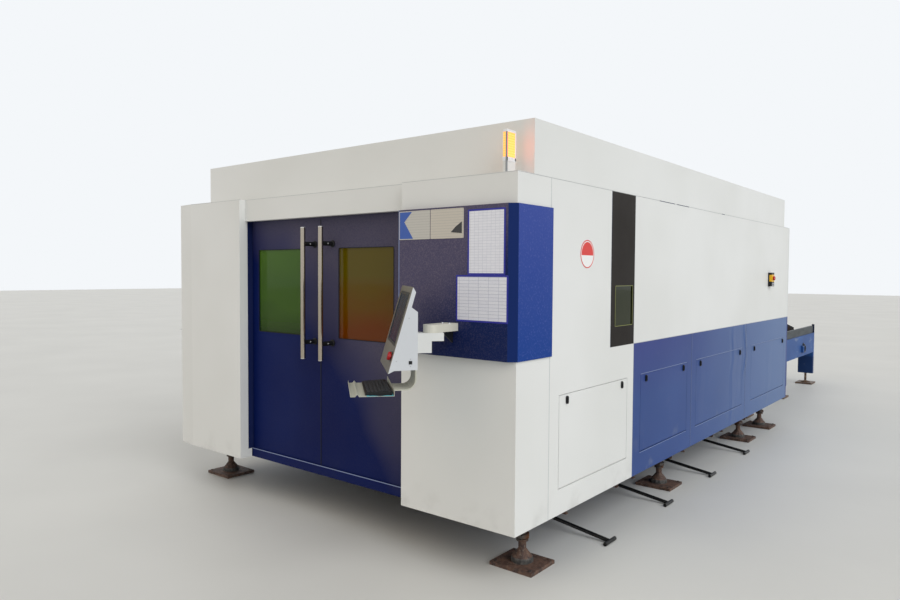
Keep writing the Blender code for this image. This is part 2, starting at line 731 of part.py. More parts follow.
def make_front_cabinets():
    """Folded cabinets left and right of the doors, with the pockets the doors slide into."""
    outer = ((RECESS_RIGHT, 0), (RIGHT, 0), (RIGHT, CABINET_DEPTH - FIT / 2))
    inner = ((RECESS_RIGHT, RETURN_DEPTH), (RIGHT - LIP, RETURN_DEPTH),
             (RIGHT - LIP, CABINET_DEPTH - FIT / 2))
    place("front_cabinet", folded_sheet(outer, inner, BODY_BOTTOM, WALL_TOP), "white")
    outer = ((LEFT, LEFT_FOLD_DROP), (LEFT + LEFT_FOLD_WIDTH, 0), (RECESS_LEFT, 0))
    inner = ((LEFT, RETURN_DEPTH), (LEFT + LEFT_FOLD_WIDTH, RETURN_DEPTH),
             (RECESS_LEFT, RETURN_DEPTH))
    place("left_cabinet", folded_sheet(outer, inner, BODY_BOTTOM, WALL_TOP), "white")


def make_header_and_sill():
    """The channel that the doors hang in and the sill that guides them."""
    left, right = RECESS_LEFT + FIT, RECESS_RIGHT - FIT
    profile = ((left, HEADER_BACK, WALL_TOP - HEADER_BACK_DROP), (left, HEADER_BACK, WALL_TOP),
               (left, HEADER_FRONT, WALL_TOP), (left, HEADER_FRONT, HEADER_BOTTOM),
               (left, RETURN_DEPTH, HEADER_BOTTOM))
    place("door_header", profile_sheet(profile, Vector((right - left, 0, 0)), SHEET), "white")
    start = LEFT + LIP + FIT
    inner_front, inner_back = SILL_FRONT + SILL_SHEET, SILL_BACK - SILL_SHEET
    outline = ((SILL_FRONT, BODY_BOTTOM), (SILL_FRONT, SILL_TOP + SILL_LIP),
               (inner_front, SILL_TOP + SILL_LIP), (inner_front, SILL_TOP),
               (SILL_BACK, SILL_TOP), (SILL_BACK, BODY_BOTTOM), (inner_back, BODY_BOTTOM),
               (inner_back, SILL_TOP - SILL_SHEET), (inner_front, SILL_TOP - SILL_SHEET),
               (inner_front, BODY_BOTTOM))
    run = Vector((RIGHT - LIP - FIT - start, 0, 0))
    place("door_sill", prism([(start, y, z) for y, z in outline], run), "blue")


def make_handle(name, x):
    """A tubular pull handle on two standoffs."""
    front = DOOR_FRONT - HANDLE_STAND
    tube = rod((x, front, HANDLE_BOTTOM), (x, front, HANDLE_TOP), HANDLE_RADIUS)
    standoffs = [rod((x, front, z), (x, DOOR_FRONT - FIT, z), STANDOFF_RADIUS, SMALL_SIDES)
                 for z in (HANDLE_BOTTOM + STANDOFF_INSET, HANDLE_TOP - STANDOFF_INSET)]
    place(name, welded(tube, standoffs), "steel", smooth=math.radians(35))


def make_door(side, left, window_left, handle_x):
    """A sliding door leaf with its pane and handle."""
    outer = ((left, DOOR_FRONT), (left + DOOR_WIDTH, DOOR_FRONT))
    inner = ((left, DOOR_BACK), (left + DOOR_WIDTH, DOOR_BACK))
    hole = (0, window_left - left, window_left - left + WINDOW_WIDTH, WINDOW_BOTTOM, WINDOW_TOP)
    leaf = folded_sheet(outer, inner, SILL_TOP + FIT, DOOR_TOP, (hole,))
    place("door_" + side, leaf, "blue")
    pane_front = DOOR_FRONT + PANE_RECESS
    pane = block((window_left + FIT, pane_front, WINDOW_BOTTOM + FIT),
                 (window_left + WINDOW_WIDTH - FIT, pane_front + PANE_THICKNESS, WINDOW_TOP - FIT))
    place("window_" + side, pane, "amber_pane")
    make_handle("handle_" + side, handle_x)


def make_doors():
    left_edge = DOOR_MEETING - DOOR_MEETING_GAP / 2 - DOOR_WIDTH
    window = DOOR_MEETING - LEFT_WINDOW_INSET - WINDOW_WIDTH
    make_door("left", left_edge, window, DOOR_MEETING - LEFT_HANDLE_INSET)
    right_edge = DOOR_MEETING + DOOR_MEETING_GAP / 2
    window = DOOR_MEETING + RIGHT_WINDOW_INSET
    make_door("right", right_edge, window, DOOR_MEETING + RIGHT_HANDLE_INSET)


def make_right_side():
    """Panels of the right long side: white at the front and above, blue below."""
    notch = (STRIP_START, WHITE_END, STRIP_BOTTOM, WALL_TOP)
    front = side_panel(CABINET_DEPTH, WHITE_END, BODY_BOTTOM, WALL_TOP,
                       (cover_hole(WHITE_COVER_FRONT, WHITE_COVER_REAR), notch))
    place("side_panel_front", front, "white")
    strip_low = STRIP_BOTTOM + FIT
    window_start = STRIP_START + STRIP_WINDOW_INSET_FRONT
    window_end = WHITE_END - STRIP_WINDOW_INSET_REAR
    window = (window_start, window_end, STRIP_WINDOW_BOTTOM, STRIP_WINDOW_TOP)
    place("strip_panel", side_panel(STRIP_START, WHITE_END, strip_low, WALL_TOP, (window,)),
          "dark_trim")
    pane = block((RIGHT - PANE_RECESS - PANE_THICKNESS, window_start + FIT,
                  STRIP_WINDOW_BOTTOM + FIT),
                 (RIGHT - PANE_RECESS, window_end - FIT, STRIP_WINDOW_TOP - FIT))
    place("strip_window", pane, "smoked_pane")
    upper = side_panel(WHITE_END, SIDE_END, STRIP_BOTTOM + FIT, WALL_TOP)
    place("side_panel_upper", upper, "white")
    blue_panels = (("side_panel_low_front", WHITE_END, PANEL_SEAM_ONE,
                    FRONT_COVER_FRONT, FRONT_COVER_REAR),
                   ("side_panel_low_middle", PANEL_SEAM_ONE, PANEL_SEAM_TWO,
                    MIDDLE_COVER_FRONT, MIDDLE_COVER_REAR),
                   ("side_panel_low_rear", PANEL_SEAM_TWO, SIDE_END,
                    REAR_COVER_FRONT, REAR_COVER_REAR))
    for name, start, end, front_edge, rear_edge in blue_panels:
        hole = cover_hole(front_edge, rear_edge)
        place(name, side_panel(start, end, BODY_BOTTOM, STRIP_BOTTOM, (hole,)), "blue")


def cover_mesh(front, rear):
    """A service cover: a sheet curled round its hinge line at the bottom, with latch holes."""
    axis_x, axis_z = RIGHT - CURL_RADIUS, COVER_BOTTOM + CURL_RADIUS
    profile = [(RIGHT - 2 * CURL_RADIUS, front, COVER_TOP), (RIGHT, front, COVER_TOP)]
    for step in range(2 * CURL_STEPS + 1):
        angle = QUARTER_TURN * step / CURL_STEPS
        profile.append((axis_x + CURL_RADIUS * math.cos(angle), front,
                        axis_z - CURL_RADIUS * math.sin(angle)))
    sheet = profile_sheet(profile, Vector((0, rear - front, 0)), COVER_SHEET)
    holes = [rod((RIGHT - CURL_RADIUS, y, latch_height()), (RIGHT + OVERRUN, y, latch_height()),
                 LATCH_SHANK_RADIUS + LATCH_SHANK_FIT, SMALL_SIDES)
             for y in latch_places(front, rear)]
    return cut(sheet, holes)


def latch_places(front, rear):
    return front + LATCH_INSET, rear - LATCH_INSET


def latch_height():
    return COVER_TOP - LATCH_DROP


def latch_mesh():
    """A quarter-turn latch: a rounded paddle, its shank and the head behind the sheet."""
    radius = LATCH_WIDTH / 2
    straight = LATCH_HEIGHT / 2 - radius
    outline = []
    for centre, first in ((straight, 0), (-straight, math.pi)):
        for step in range(SMALL_SIDES // 2 + 1):
            angle = first + math.pi * step / (SMALL_SIDES // 2)
            outline.append((FIT, radius * math.cos(angle), centre + radius * math.sin(angle)))
    paddle = prism(outline, Vector((LATCH_THICKNESS, 0, 0)))
    head_front = -COVER_SHEET - FIT
    shank = rod((head_front - LATCH_HEAD_THICKNESS / 2, 0, 0), (LATCH_THICKNESS / 2, 0, 0),
                LATCH_SHANK_RADIUS, SMALL_SIDES)
    head = rod((head_front - LATCH_HEAD_THICKNESS, 0, 0), (head_front, 0, 0),
               LATCH_HEAD_RADIUS, SMALL_SIDES)
    return welded(paddle, (shank, head))


def make_covers():
    """Four service covers hinged at the bottom, each with two latches."""
    covers = (("cover_white", WHITE_COVER_FRONT, WHITE_COVER_REAR, "white"),
              ("cover_front", FRONT_COVER_FRONT, FRONT_COVER_REAR, "blue"),
              ("cover_middle", MIDDLE_COVER_FRONT, MIDDLE_COVER_REAR, "blue"),
              ("cover_rear", REAR_COVER_FRONT, REAR_COVER_REAR, "blue"))
    latch = latch_mesh()
    for name, front, rear, colour in covers:
        hinge = (RIGHT - CURL_RADIUS, (front + rear) / 2, COVER_BOTTOM + CURL_RADIUS)
        place(name, cover_mesh(front, rear), colour, hinge, smooth=math.radians(30))
        for end, y in zip("ab", latch_places(front, rear)):
            copy = latch.copy()
            copy.transform(Matrix.Translation((RIGHT, y, latch_height())))
            place(name.replace("cover", "latch") + "_" + end, copy, "black",
                  (RIGHT, y, latch_height()), smooth=math.radians(35))


def make_roof():
    """The roof housing and its brim, pressed from one sheet."""
    left = LEFT + ROOF_LEFT_INSET
    base = ((left, ROOF_FRONT), (RIGHT, ROOF_FRONT), (RIGHT, ROOF_REAR), (left, ROOF_REAR))
    low = [Vector((x, y, BODY_TOP)) for x, y in base]
    high = [Vector((x, y, ROOF_TOP)) for x, y in base]
    front_edge = ((LEFT, LEFT_FOLD_DROP), (LEFT + LEFT_FOLD_WIDTH, 0), (RECESS_LEFT, 0),
                  (RECESS_LEFT, HEADER_FRONT), (RECESS_RIGHT, HEADER_FRONT), (RECESS_RIGHT, 0),
                  (RIGHT, 0))
    front = [Vector((x, y, BODY_TOP)) for x, y in front_edge]
    rear_left, rear_right = Vector((LEFT, BODY_LENGTH, BODY_TOP)), Vector((RIGHT, BODY_LENGTH, BODY_TOP))
    faces = [high, front + [low[1], low[0]], (front[0], low[0], low[3], rear_left),
             (rear_left, low[3], low[2], rear_right)]
    for index, corner in enumerate(low):
        after = (index + 1) % len(low)
        faces.append((corner, low[after], high[after], high[index]))
    place("roof_housing", thickened(mesh_from_faces(faces), SHEET), "white")


def make_left_and_rear_walls():
    """The plain left wall and the rear wall with the opening the pallets pass through."""
    outer = ((LEFT, SIDE_END - FIT), (LEFT, RETURN_DEPTH + FIT))
    inner = ((LEFT + LIP, SIDE_END - FIT), (LEFT + LIP, RETURN_DEPTH + FIT))
    place("left_wall", folded_sheet(outer, inner, BODY_BOTTOM, WALL_TOP), "white")
    outer = ((RIGHT, BODY_LENGTH), (LEFT, BODY_LENGTH))
    inner = ((RIGHT, SIDE_END), (LEFT, SIDE_END))
    margin = RIGHT - TABLE_OUTER - EXCHANGE_OPENING_MARGIN
    opening = (0, margin, BODY_WIDTH - margin, EXCHANGE_OPENING_BOTTOM, EXCHANGE_OPENING_TOP)
    place("rear_wall", folded_sheet(outer, inner, BODY_BOTTOM, WALL_TOP, (opening,)), "white")


def make_wrap():
    """The blue folded box round the upper corner of the right cabinet."""
    front, side = -WRAP_STAND_FRONT, RIGHT + WRAP_STAND_SIDE
    left = RECESS_RIGHT + WRAP_LEFT_INSET
    outer = ((left, front), (side - WRAP_CHAMFER, front), (side, front + WRAP_CHAMFER),
             (side, WRAP_REAR))
    inner = ((left, -FIT), (RIGHT + FIT, -FIT), (RIGHT + FIT, front + WRAP_CHAMFER),
             (RIGHT + FIT, WRAP_REAR))
    place("blue_wrap", folded_sheet(outer, inner, WRAP_BOTTOM, WRAP_TOP), "blue")


def rounded_post(low, high, radius):
    """An upright block whose four upright edges are rounded."""
    (x0, y0, z0), (x1, y1, z1) = low, high
    outline = []
    corners = ((x1 - radius, y1 - radius), (x0 + radius, y1 - radius),
               (x0 + radius, y0 + radius), (x1 - radius, y0 + radius))
    for quarter, (x, y) in enumerate(corners):
        for step in range(4):
            angle = QUARTER_TURN * (quarter + step / 3)
            outline.append((x + radius * math.cos(angle), y + radius * math.sin(angle), z0))
    return prism(outline, Vector((0, 0, z1 - z0)))


def make_beacon():
    """The signal light: a base and the lens on it."""
    x1 = RIGHT - BEACON_SIDE_INSET
    x0 = x1 - BEACON_THICKNESS
    y0, y1 = BEACON_FRONT_INSET, BEACON_FRONT_INSET + BEACON_WIDTH
    base_low = BODY_TOP + FIT
    base_high = base_low + BEACON_BASE_HEIGHT
    place("beacon_base", rounded_post((x0, y0, base_low), (x1, y1, base_high), BEACON_ROUND), "white")
    lens_low = base_high + FIT
    lens = rounded_post((x0, y0, lens_low), (x1, y1, lens_low + BEACON_LENS_HEIGHT), BEACON_ROUND)
    place("beacon_lens", lens, "lamp")


def button_mesh(cap_radius, cap_height, stem_radius, stem_length):
    """A push button pointing up Z: its stem below zero, its cap held clear by its travel."""
    shoulder = BUTTON_TRAVEL + FIT
    crown = cap_radius * (1 - math.cos(math.radians(30)))
    profile = ((stem_radius, -stem_length), (stem_radius, shoulder), (cap_radius, shoulder),
               (cap_radius, shoulder + cap_height - crown),
               (cap_radius - crown, shoulder + cap_height))
    return turned(profile, SMALL_SIDES)


def button_bore(stem_radius, stem_length):
    """The cutter of the bore that a push button's stem slides in."""
    depth = stem_length + BUTTON_TRAVEL + FIT
    return turned(((stem_radius + BUTTON_FIT, -depth), (stem_radius + BUTTON_FIT, OVERRUN)),
                  SMALL_SIDES)


def make_stop_box():
    """The stop box near the rear of the right side, with its red button."""
    x0 = RIGHT + FIT
    face = x0 + STOP_BOX_DEPTH
    body = block((x0, STOP_BOX_START, STOP_BOX_BOTTOM),
                 (face, STOP_BOX_START + STOP_BOX_WIDTH, STOP_BOX_BOTTOM + STOP_BOX_HEIGHT))
    centre = (face, STOP_BOX_START + STOP_BOX_WIDTH / 2, STOP_BOX_BOTTOM + STOP_BUTTON_RISE)
    turn = Matrix.Translation(centre) @ Matrix.Rotation(QUARTER_TURN, 4, "Y")
    bore = button_bore(STOP_STEM_RADIUS, STOP_STEM_LENGTH)
    bore.transform(turn)
    place("stop_box", cut(body, (bore,)), "yellow")
    button = button_mesh(STOP_CAP_RADIUS, STOP_CAP_HEIGHT, STOP_STEM_RADIUS, STOP_STEM_LENGTH)
    button.transform(turn)
    place("stop_button", button, "red", centre, smooth=math.radians(40))


def ledge_bars(start, end, outer):
    """The two ledges on one side that carry the pallets, from a beam's inner face at outer."""
    inner = MIDDLE + PALLET_WIDTH / 2 - LEDGE_LAP
    return [((inner, start, level - FIT - LEDGE_THICKNESS), (outer, end, level - FIT))
            for level in (UPPER_LEVEL, LOWER_LEVEL)]


def rail_place():
    """Where the gantry rail runs on the right bed beam, along X."""
    return (BED_BEAM_OUTER + BEAM_INNER) / 2


def frame_bars():
    """Bars of the main frame: base, posts, top, bed beams, rails, ledges and runners."""
    skin = RIGHT - LIP - FIT
    base = ((skin - BASE_BAR_WIDTH, FRAME_FRONT, BODY_BOTTOM),
            (skin, FRAME_REAR, BODY_BOTTOM + BASE_BAR_HEIGHT))
    top_low = WALL_TOP - FIT - TOP_BAR_HEIGHT - SHEET
    top_high = WALL_TOP - FIT - SHEET
    top = ((skin - POST_WIDTH, FRAME_FRONT, top_low), (skin, FRAME_REAR, top_high))
    beam = ((BEAM_INNER, BED_FRONT, BED_BEAM_BOTTOM),
            (BED_BEAM_OUTER, FRAME_REAR, BED_BEAM_TOP))
    rail_middle = rail_place()
    rail = ((rail_middle - RAIL_WIDTH / 2, BED_FRONT, BED_BEAM_TOP),
            (rail_middle + RAIL_WIDTH / 2, FRAME_REAR, BED_BEAM_TOP + RAIL_HEIGHT))
    half = [base, top, beam, rail]
    for seam in (FRAME_FRONT + POST_WIDTH, WHITE_END, PANEL_SEAM_ONE, PANEL_SEAM_TWO, FRAME_REAR):
        half.append(((skin - POST_WIDTH, seam - POST_WIDTH, BODY_BOTTOM), (skin, seam, top_high)))
    half += ledge_bars(INNER_PALLET_START - LEDGE_LEAD, FRAME_REAR, BEAM_INNER)
    bars = half + [mirrored_bar(bar) for bar in half]
    inner = LEFT + LIP + FIT
    for y in (BED_FRONT, PANEL_SEAM_ONE, PANEL_SEAM_TWO, FRAME_REAR - CROSS_BAR_WIDTH):
        bars.append(((inner, y, BODY_BOTTOM),
                     (skin, y + CROSS_BAR_WIDTH, BODY_BOTTOM + BASE_BAR_HEIGHT)))
    for y in (FRAME_FRONT, PANEL_SEAM_ONE - POST_WIDTH, PANEL_SEAM_TWO - POST_WIDTH,
              FRAME_REAR - POST_WIDTH):
        bars.append(((inner, y, top_low), (skin, y + POST_WIDTH, top_high)))
    return bars + runner_bars(inner, skin)


def runner_bars(left, right):
    """Angles under the bed that the lips of the slag drawers slide on."""
    bars = []
    web_inner = DRAWER_WIDTH / 2 + DRAWER_LIP + RUNNER_GAP
    leg_top = DRAWER_TOP - FIT
    for place_y in DRAWER_PLACES:
        for side in (-1, 1):
            web = sorted((place_y + side * web_inner,
                          place_y + side * (web_inner + RUNNER_THICKNESS)))
            leg = sorted((place_y + side * (web_inner + RUNNER_THICKNESS),
                          place_y + side * (web_inner + RUNNER_THICKNESS - RUNNER_LEG)))
            bars.append(((left, web[0], leg_top - RUNNER_THICKNESS),
                         (right, web[1], BODY_BOTTOM + BASE_BAR_HEIGHT / 2)))
            bars.append(((left, leg[0], leg_top - RUNNER_THICKNESS), (right, leg[1], leg_top)))
    return bars


def foot_mesh(x, y):
    """A levelling foot: stem, lock nut and pad, standing on its floor plate."""
    pad_low = PLATE_THICKNESS - SHEET
    pad_high = PLATE_THICKNESS + PAD_HEIGHT
    nut_high = BODY_BOTTOM - NUT_DROP
    profile = ((PAD_RADIUS, pad_low), (PAD_RADIUS, pad_high),
               (STEM_RADIUS, pad_high + PAD_NECK), (STEM_RADIUS, nut_high - NUT_HEIGHT),
               (NUT_RADIUS, nut_high - NUT_HEIGHT), (NUT_RADIUS, nut_high),
               (STEM_RADIUS, nut_high), (STEM_RADIUS, BODY_BOTTOM + BASE_BAR_HEIGHT / 2))
    foot = turned(profile, SMALL_SIDES)
    foot.transform(Matrix.Translation((x, y, 0)))
    plate = block((x - PLATE_LENGTH / 2, y - PLATE_WIDTH / 2, 0),
                  (x + PLATE_LENGTH / 2, y + PLATE_WIDTH / 2, PLATE_THICKNESS))
    return foot, plate


def make_main_frame():
    """The welded frame with its bed, rails, ledges, runners and levelling feet."""
    feet = []
    for y in FOOT_PLACES:
        for x in (RIGHT - FOOT_INSET, LEFT + FOOT_INSET):
            feet.extend(foot_mesh(x, y))
    place("main_frame", welded(welded_bars(frame_bars()), feet), "frame_blue")


def table_foot(x, y):
    """A foot of the exchange table: its stem, pad and floor plate."""
    pad_high = PLATE_THICKNESS + PAD_HEIGHT
    profile = ((PAD_RADIUS, PLATE_THICKNESS - SHEET), (PAD_RADIUS, PLATE_THICKNESS + PAD_HEIGHT / 2),
               (TABLE_STEM_RADIUS, pad_high), (TABLE_STEM_RADIUS, TABLE_LEG_BOTTOM + TABLE_STEM_HOLD))
    stem = turned(profile, SMALL_SIDES)
    stem.transform(Matrix.Translation((x, y, 0)))
    plate = block((x - TABLE_PLATE_LENGTH / 2, y - TABLE_PLATE_WIDTH / 2, 0),
                  (x + TABLE_PLATE_LENGTH / 2, y + TABLE_PLATE_WIDTH / 2, PLATE_THICKNESS))
    return stem, plate


def make_table():
    """The exchange table: side beams with guides, ledges, cross bars, legs and feet."""
    start = BODY_LENGTH + FIT
    guide = TABLE_OUTER - GUIDE_INSET
    half = [((TABLE_INNER, start, TABLE_BEAM_BOTTOM), (TABLE_OUTER, TABLE_END, TABLE_BEAM_TOP)),
            ((guide - GUIDE_WIDTH, start, TABLE_BEAM_TOP),
             (guide, TABLE_END - 2 * END_POST_WIDTH, TABLE_BEAM_TOP + GUIDE_HEIGHT)),
            ((TABLE_OUTER - END_POST_WIDTH, TABLE_END - END_POST_WIDTH, TABLE_BEAM_TOP),
             (TABLE_OUTER, TABLE_END, TABLE_BEAM_TOP + END_POST_HEIGHT))]
    half += ledge_bars(start, TABLE_END, TABLE_INNER)
    leg_places = (start + TABLE_CROSS_HEIGHT, TABLE_MIDDLE, TABLE_END - TABLE_BEAM_WIDTH)
    for y in leg_places:
        half.append(((TABLE_OUTER - TABLE_LEG_WIDTH, y, TABLE_LEG_BOTTOM),
                     (TABLE_OUTER, y + TABLE_BEAM_WIDTH, TABLE_BEAM_BOTTOM)))
    bars = half + [mirrored_bar(bar) for bar in half]
    left = 2 * MIDDLE - TABLE_OUTER
    for y in leg_places:
        bars.append(((left, y, TABLE_BEAM_BOTTOM - TABLE_CROSS_HEIGHT),
                     (TABLE_OUTER, y + TABLE_BEAM_WIDTH, TABLE_BEAM_BOTTOM)))
    feet = []
    for y in leg_places:
        for x in (TABLE_OUTER - TABLE_LEG_WIDTH / 2, left + TABLE_LEG_WIDTH / 2):
            feet.extend(table_foot(x, y + TABLE_BEAM_WIDTH / 2))
    place("table_frame", welded(welded_bars(bars), feet), "frame_blue")


def slat_mesh(y, base):
    """A toothed slat across the pallet, its ends seated in the side bars."""
    half = PALLET_WIDTH / 2 - SLAT_SEAT
    left, right = MIDDLE - half, MIDDLE + half
    top = base + PALLET_HEIGHT
    pitch = (right - left) / TOOTH_COUNT
    outline = [(left, y, base + SLAT_BOTTOM), (right, y, base + SLAT_BOTTOM)]
    for tooth in range(TOOTH_COUNT):
        outline.append((right - pitch * tooth, y, top - TOOTH_DEPTH))
        outline.append((right - pitch * (tooth + 1 / 2), y, top))
    outline.append((left, y, top - TOOTH_DEPTH))
    return prism(outline, Vector((0, SLAT_THICKNESS, 0)))


def make_pallet(name, start, base):
    """A pallet: a welded frame with toothed slats standing in it."""
    left, right = MIDDLE - PALLET_WIDTH / 2, MIDDLE + PALLET_WIDTH / 2
    end, top = start + PALLET_LENGTH, base + PALLET_FRAME_HEIGHT
    bars = [((left, start, base), (left + PALLET_BAR_WIDTH, end, top)),
            ((right - PALLET_BAR_WIDTH, start, base), (right, end, top)),
            ((left, start, base), (right, start + PALLET_BAR_WIDTH, top)),
            ((left, end - PALLET_BAR_WIDTH, base), (right, end, top))]
    slats = [slat_mesh(start + SLAT_PITCH * (number + 1), base) for number in range(SLAT_COUNT)]
    group = bmesh.new()
    for slat in slats:
        group.from_mesh(slat)
    joined = bpy.data.meshes.new("slats")
    group.to_mesh(joined)
    group.free()
    place(name, welded(welded_bars(bars), (joined,)), "scale_steel")


def drawer_mesh(y):
    """A slag drawer: an open tray with side lips and the two ears of its pull bar."""
    x1 = RIGHT - DRAWER_INSET
    x0 = x1 - DRAWER_LENGTH
    y0, y1 = y - DRAWER_WIDTH / 2, y + DRAWER_WIDTH / 2
    low = [Vector(point) for point in ((x0, y0, DRAWER_BOTTOM), (x1, y0, DRAWER_BOTTOM),
                                       (x1, y1, DRAWER_BOTTOM), (x0, y1, DRAWER_BOTTOM))]
    high = [point + Vector((0, 0, DRAWER_TOP - DRAWER_BOTTOM)) for point in low]
    lip = Vector((0, DRAWER_LIP, 0))
    faces = [low[::-1]]
    for index, corner in enumerate(low):
        after = (index + 1) % len(low)
        faces.append((corner, low[after], high[after], high[index]))
    faces.append((high[0], high[1], high[1] - lip, high[0] - lip))
    faces.append((high[2], high[3], high[3] + lip, high[2] + lip))
    tray = thickened(mesh_from_faces(faces), DRAWER_SHEET)
    ears = []
    for side in (-1, 1):
        middle = y + side * (EAR_SPACING + EAR_THICKNESS) / 2
        ears.append(block((x1 - DRAWER_SHEET / 2, middle - EAR_THICKNESS / 2,
                           PULL_PIN_HEIGHT - EAR_HEIGHT / 2),
                          (x1 + EAR_REACH, middle + EAR_THICKNESS / 2,
                           PULL_PIN_HEIGHT + EAR_HEIGHT / 2)))
    reach = EAR_SPACING / 2 + EAR_THICKNESS / 2
    pin_x = x1 + PULL_PIN_REACH
    ears.append(rod((pin_x, y - reach, PULL_PIN_HEIGHT), (pin_x, y + reach, PULL_PIN_HEIGHT),
                    PULL_PIN_RADIUS, SMALL_SIDES))
    return welded(tray, ears)


def pull_bar_mesh(length):
    """A pull bar along X from the pin at zero: its eye, the bar and the cross grip."""
    eye = rod((0, -PULL_EYE_WIDTH / 2, 0), (0, PULL_EYE_WIDTH / 2, 0), PULL_EYE_RADIUS, SMALL_SIDES)
    bar = rod((PULL_PIN_RADIUS + PULL_BAR_RADIUS / 2, 0, 0), (length, 0, 0),
              PULL_BAR_RADIUS / 2, SMALL_SIDES)
    sleeve = rod((PULL_EYE_RADIUS + PULL_BAR_RADIUS, 0, 0), (length, 0, 0),
                 PULL_BAR_RADIUS, SMALL_SIDES)
    grip = rod((length, -PULL_CROSS_LENGTH / 2, 0), (length, PULL_CROSS_LENGTH / 2, 0),
               PULL_BAR_RADIUS, SMALL_SIDES)
    bore = rod((0, -PULL_EYE_WIDTH, 0), (0, PULL_EYE_WIDTH, 0),
               PULL_PIN_RADIUS + PULL_EYE_FIT, SMALL_SIDES)
    return cut(welded(eye, (bar, sleeve, grip)), (bore,))


def make_drawers():
    """Four slag drawers and the T-shaped bars whose grips rest on the floor."""
    pin_x = RIGHT - DRAWER_INSET + PULL_PIN_REACH
    drop = PULL_PIN_HEIGHT - PULL_BAR_RADIUS
    reach = PULL_BAR_END - pin_x
    length = math.hypot(reach, drop)
    bar = pull_bar_mesh(length)
    for number, y in enumerate(DRAWER_PLACES, 1):
        place(f"slag_drawer_{number}", drawer_mesh(y), "scale_steel")
        copy = bar.copy()
        pivot = (pin_x, y, PULL_PIN_HEIGHT)
        copy.transform(Matrix.Translation(pivot) @ Matrix.Rotation(math.atan2(drop, reach), 4, "Y"))
        place(f"pull_bar_{number}", copy, "scale_steel", pivot, smooth=math.radians(35))


def make_gantry():
    """The gantry on its rails, the cross carriage and the cutting head."""
    rail_x = rail_place()
    block_low = BED_BEAM_TOP + RAIL_HEIGHT + FIT
    block_high = block_low + GANTRY_BLOCK_HEIGHT
    y0, y1 = GANTRY_REST, GANTRY_REST + GANTRY_BLOCK_LENGTH
    half = ((rail_x - GANTRY_BLOCK_WIDTH / 2, y0, block_low),
            (rail_x + GANTRY_BLOCK_WIDTH / 2, y1, block_high))
    beam_front = (y0 + y1 - GANTRY_BEAM_DEPTH) / 2
    beam_high = block_high + GANTRY_BEAM_HEIGHT
    beam = ((2 * MIDDLE - rail_x, beam_front, block_high),
            (rail_x, beam_front + GANTRY_BEAM_DEPTH, beam_high))
    place("gantry_beam", welded_bars([half, mirrored_bar(half), beam]), "white")
    carriage_back = beam_front - FIT
    carriage_front = carriage_back - CARRIAGE_DEPTH
    carriage_low = block_high - CARRIAGE_DROP
    carriage = block((MIDDLE - CARRIAGE_WIDTH / 2, carriage_front, carriage_low),
                     (MIDDLE + CARRIAGE_WIDTH / 2, carriage_back, carriage_low + CARRIAGE_HEIGHT))
    place("cross_carriage", carriage, "dark_trim")
    neck_low = HEAD_TIP + HEAD_NOZZLE_HEIGHT + HEAD_TAPER_HEIGHT
    profile = ((HEAD_TIP_RADIUS, HEAD_TIP), (HEAD_RADIUS / 3, HEAD_TIP + HEAD_NOZZLE_HEIGHT),
               (HEAD_RADIUS / 2, HEAD_TIP + HEAD_NOZZLE_HEIGHT), (HEAD_RADIUS, neck_low),
               (HEAD_RADIUS, HEAD_TOP - HEAD_CABLE_HEIGHT),
               (HEAD_CABLE_RADIUS, HEAD_TOP - HEAD_CABLE_HEIGHT), (HEAD_CABLE_RADIUS, HEAD_TOP))
    head = turned(profile)
    head.transform(Matrix.Translation((MIDDLE, carriage_front - FIT - HEAD_STAND, 0)))
    mount = block((MIDDLE - HEAD_BLOCK_WIDTH / 2, carriage_front - FIT - HEAD_STAND,
                   HEAD_BLOCK_BOTTOM),
                  (MIDDLE + HEAD_BLOCK_WIDTH / 2, carriage_front - FIT, HEAD_BLOCK_TOP))
    place("cutting_head", welded(head, (mount,)), "steel", smooth=math.radians(35))


def make_bracket():
    """The wall bracket of the pendant: a plate with a round nose and a gusset under it."""
    wall = -WRAP_STAND_FRONT - FIT
    half = BRACKET_WIDTH / 2
    outline = [(SWIVEL_X + half, wall, BRACKET_BOTTOM)]
    for step in range(ROUND_SIDES // 2 + 1):
        angle = -FULL_TURN * step / ROUND_SIDES
        outline.append((SWIVEL_X + half * math.cos(angle), SWIVEL_Y + half * math.sin(angle),
                        BRACKET_BOTTOM))
    outline.append((SWIVEL_X - half, wall, BRACKET_BOTTOM))
    plate = prism(outline, Vector((0, 0, BRACKET_THICKNESS)))
    overlap = BRACKET_THICKNESS / 2
    side = SWIVEL_X - GUSSET_THICKNESS / 2
    gusset = prism(((side, wall, BRACKET_BOTTOM + overlap), (side, wall, BRACKET_BOTTOM - GUSSET_HEIGHT),
                    (side, wall - GUSSET_LENGTH, BRACKET_BOTTOM),
                    (side, wall - GUSSET_LENGTH, BRACKET_BOTTOM + overlap)),
                   Vector((GUSSET_THICKNESS, 0, 0)))
    place("pendant_bracket", welded(plate, (gusset,)), "white", smooth=math.radians(35))


def neck_mesh():
    """The neck under the bracket, reaching forward to the back of the case."""
    top = BRACKET_BOTTOM - FIT
    half = NECK_WIDTH / 2
    front = -CASE_STAND + FIT
    outline = ((-half, NECK_BACK, top), (-half, NECK_BACK, top - NECK_PLATE),
               (-half, 0, top - NECK_PLATE), (-half, 0, top - NECK_PLATE - NECK_BLOCK),
               (-half, front, top - NECK_PLATE - NECK_BLOCK), (-half, front, top))
    return prism(outline, Vector((NECK_WIDTH, 0, 0)))


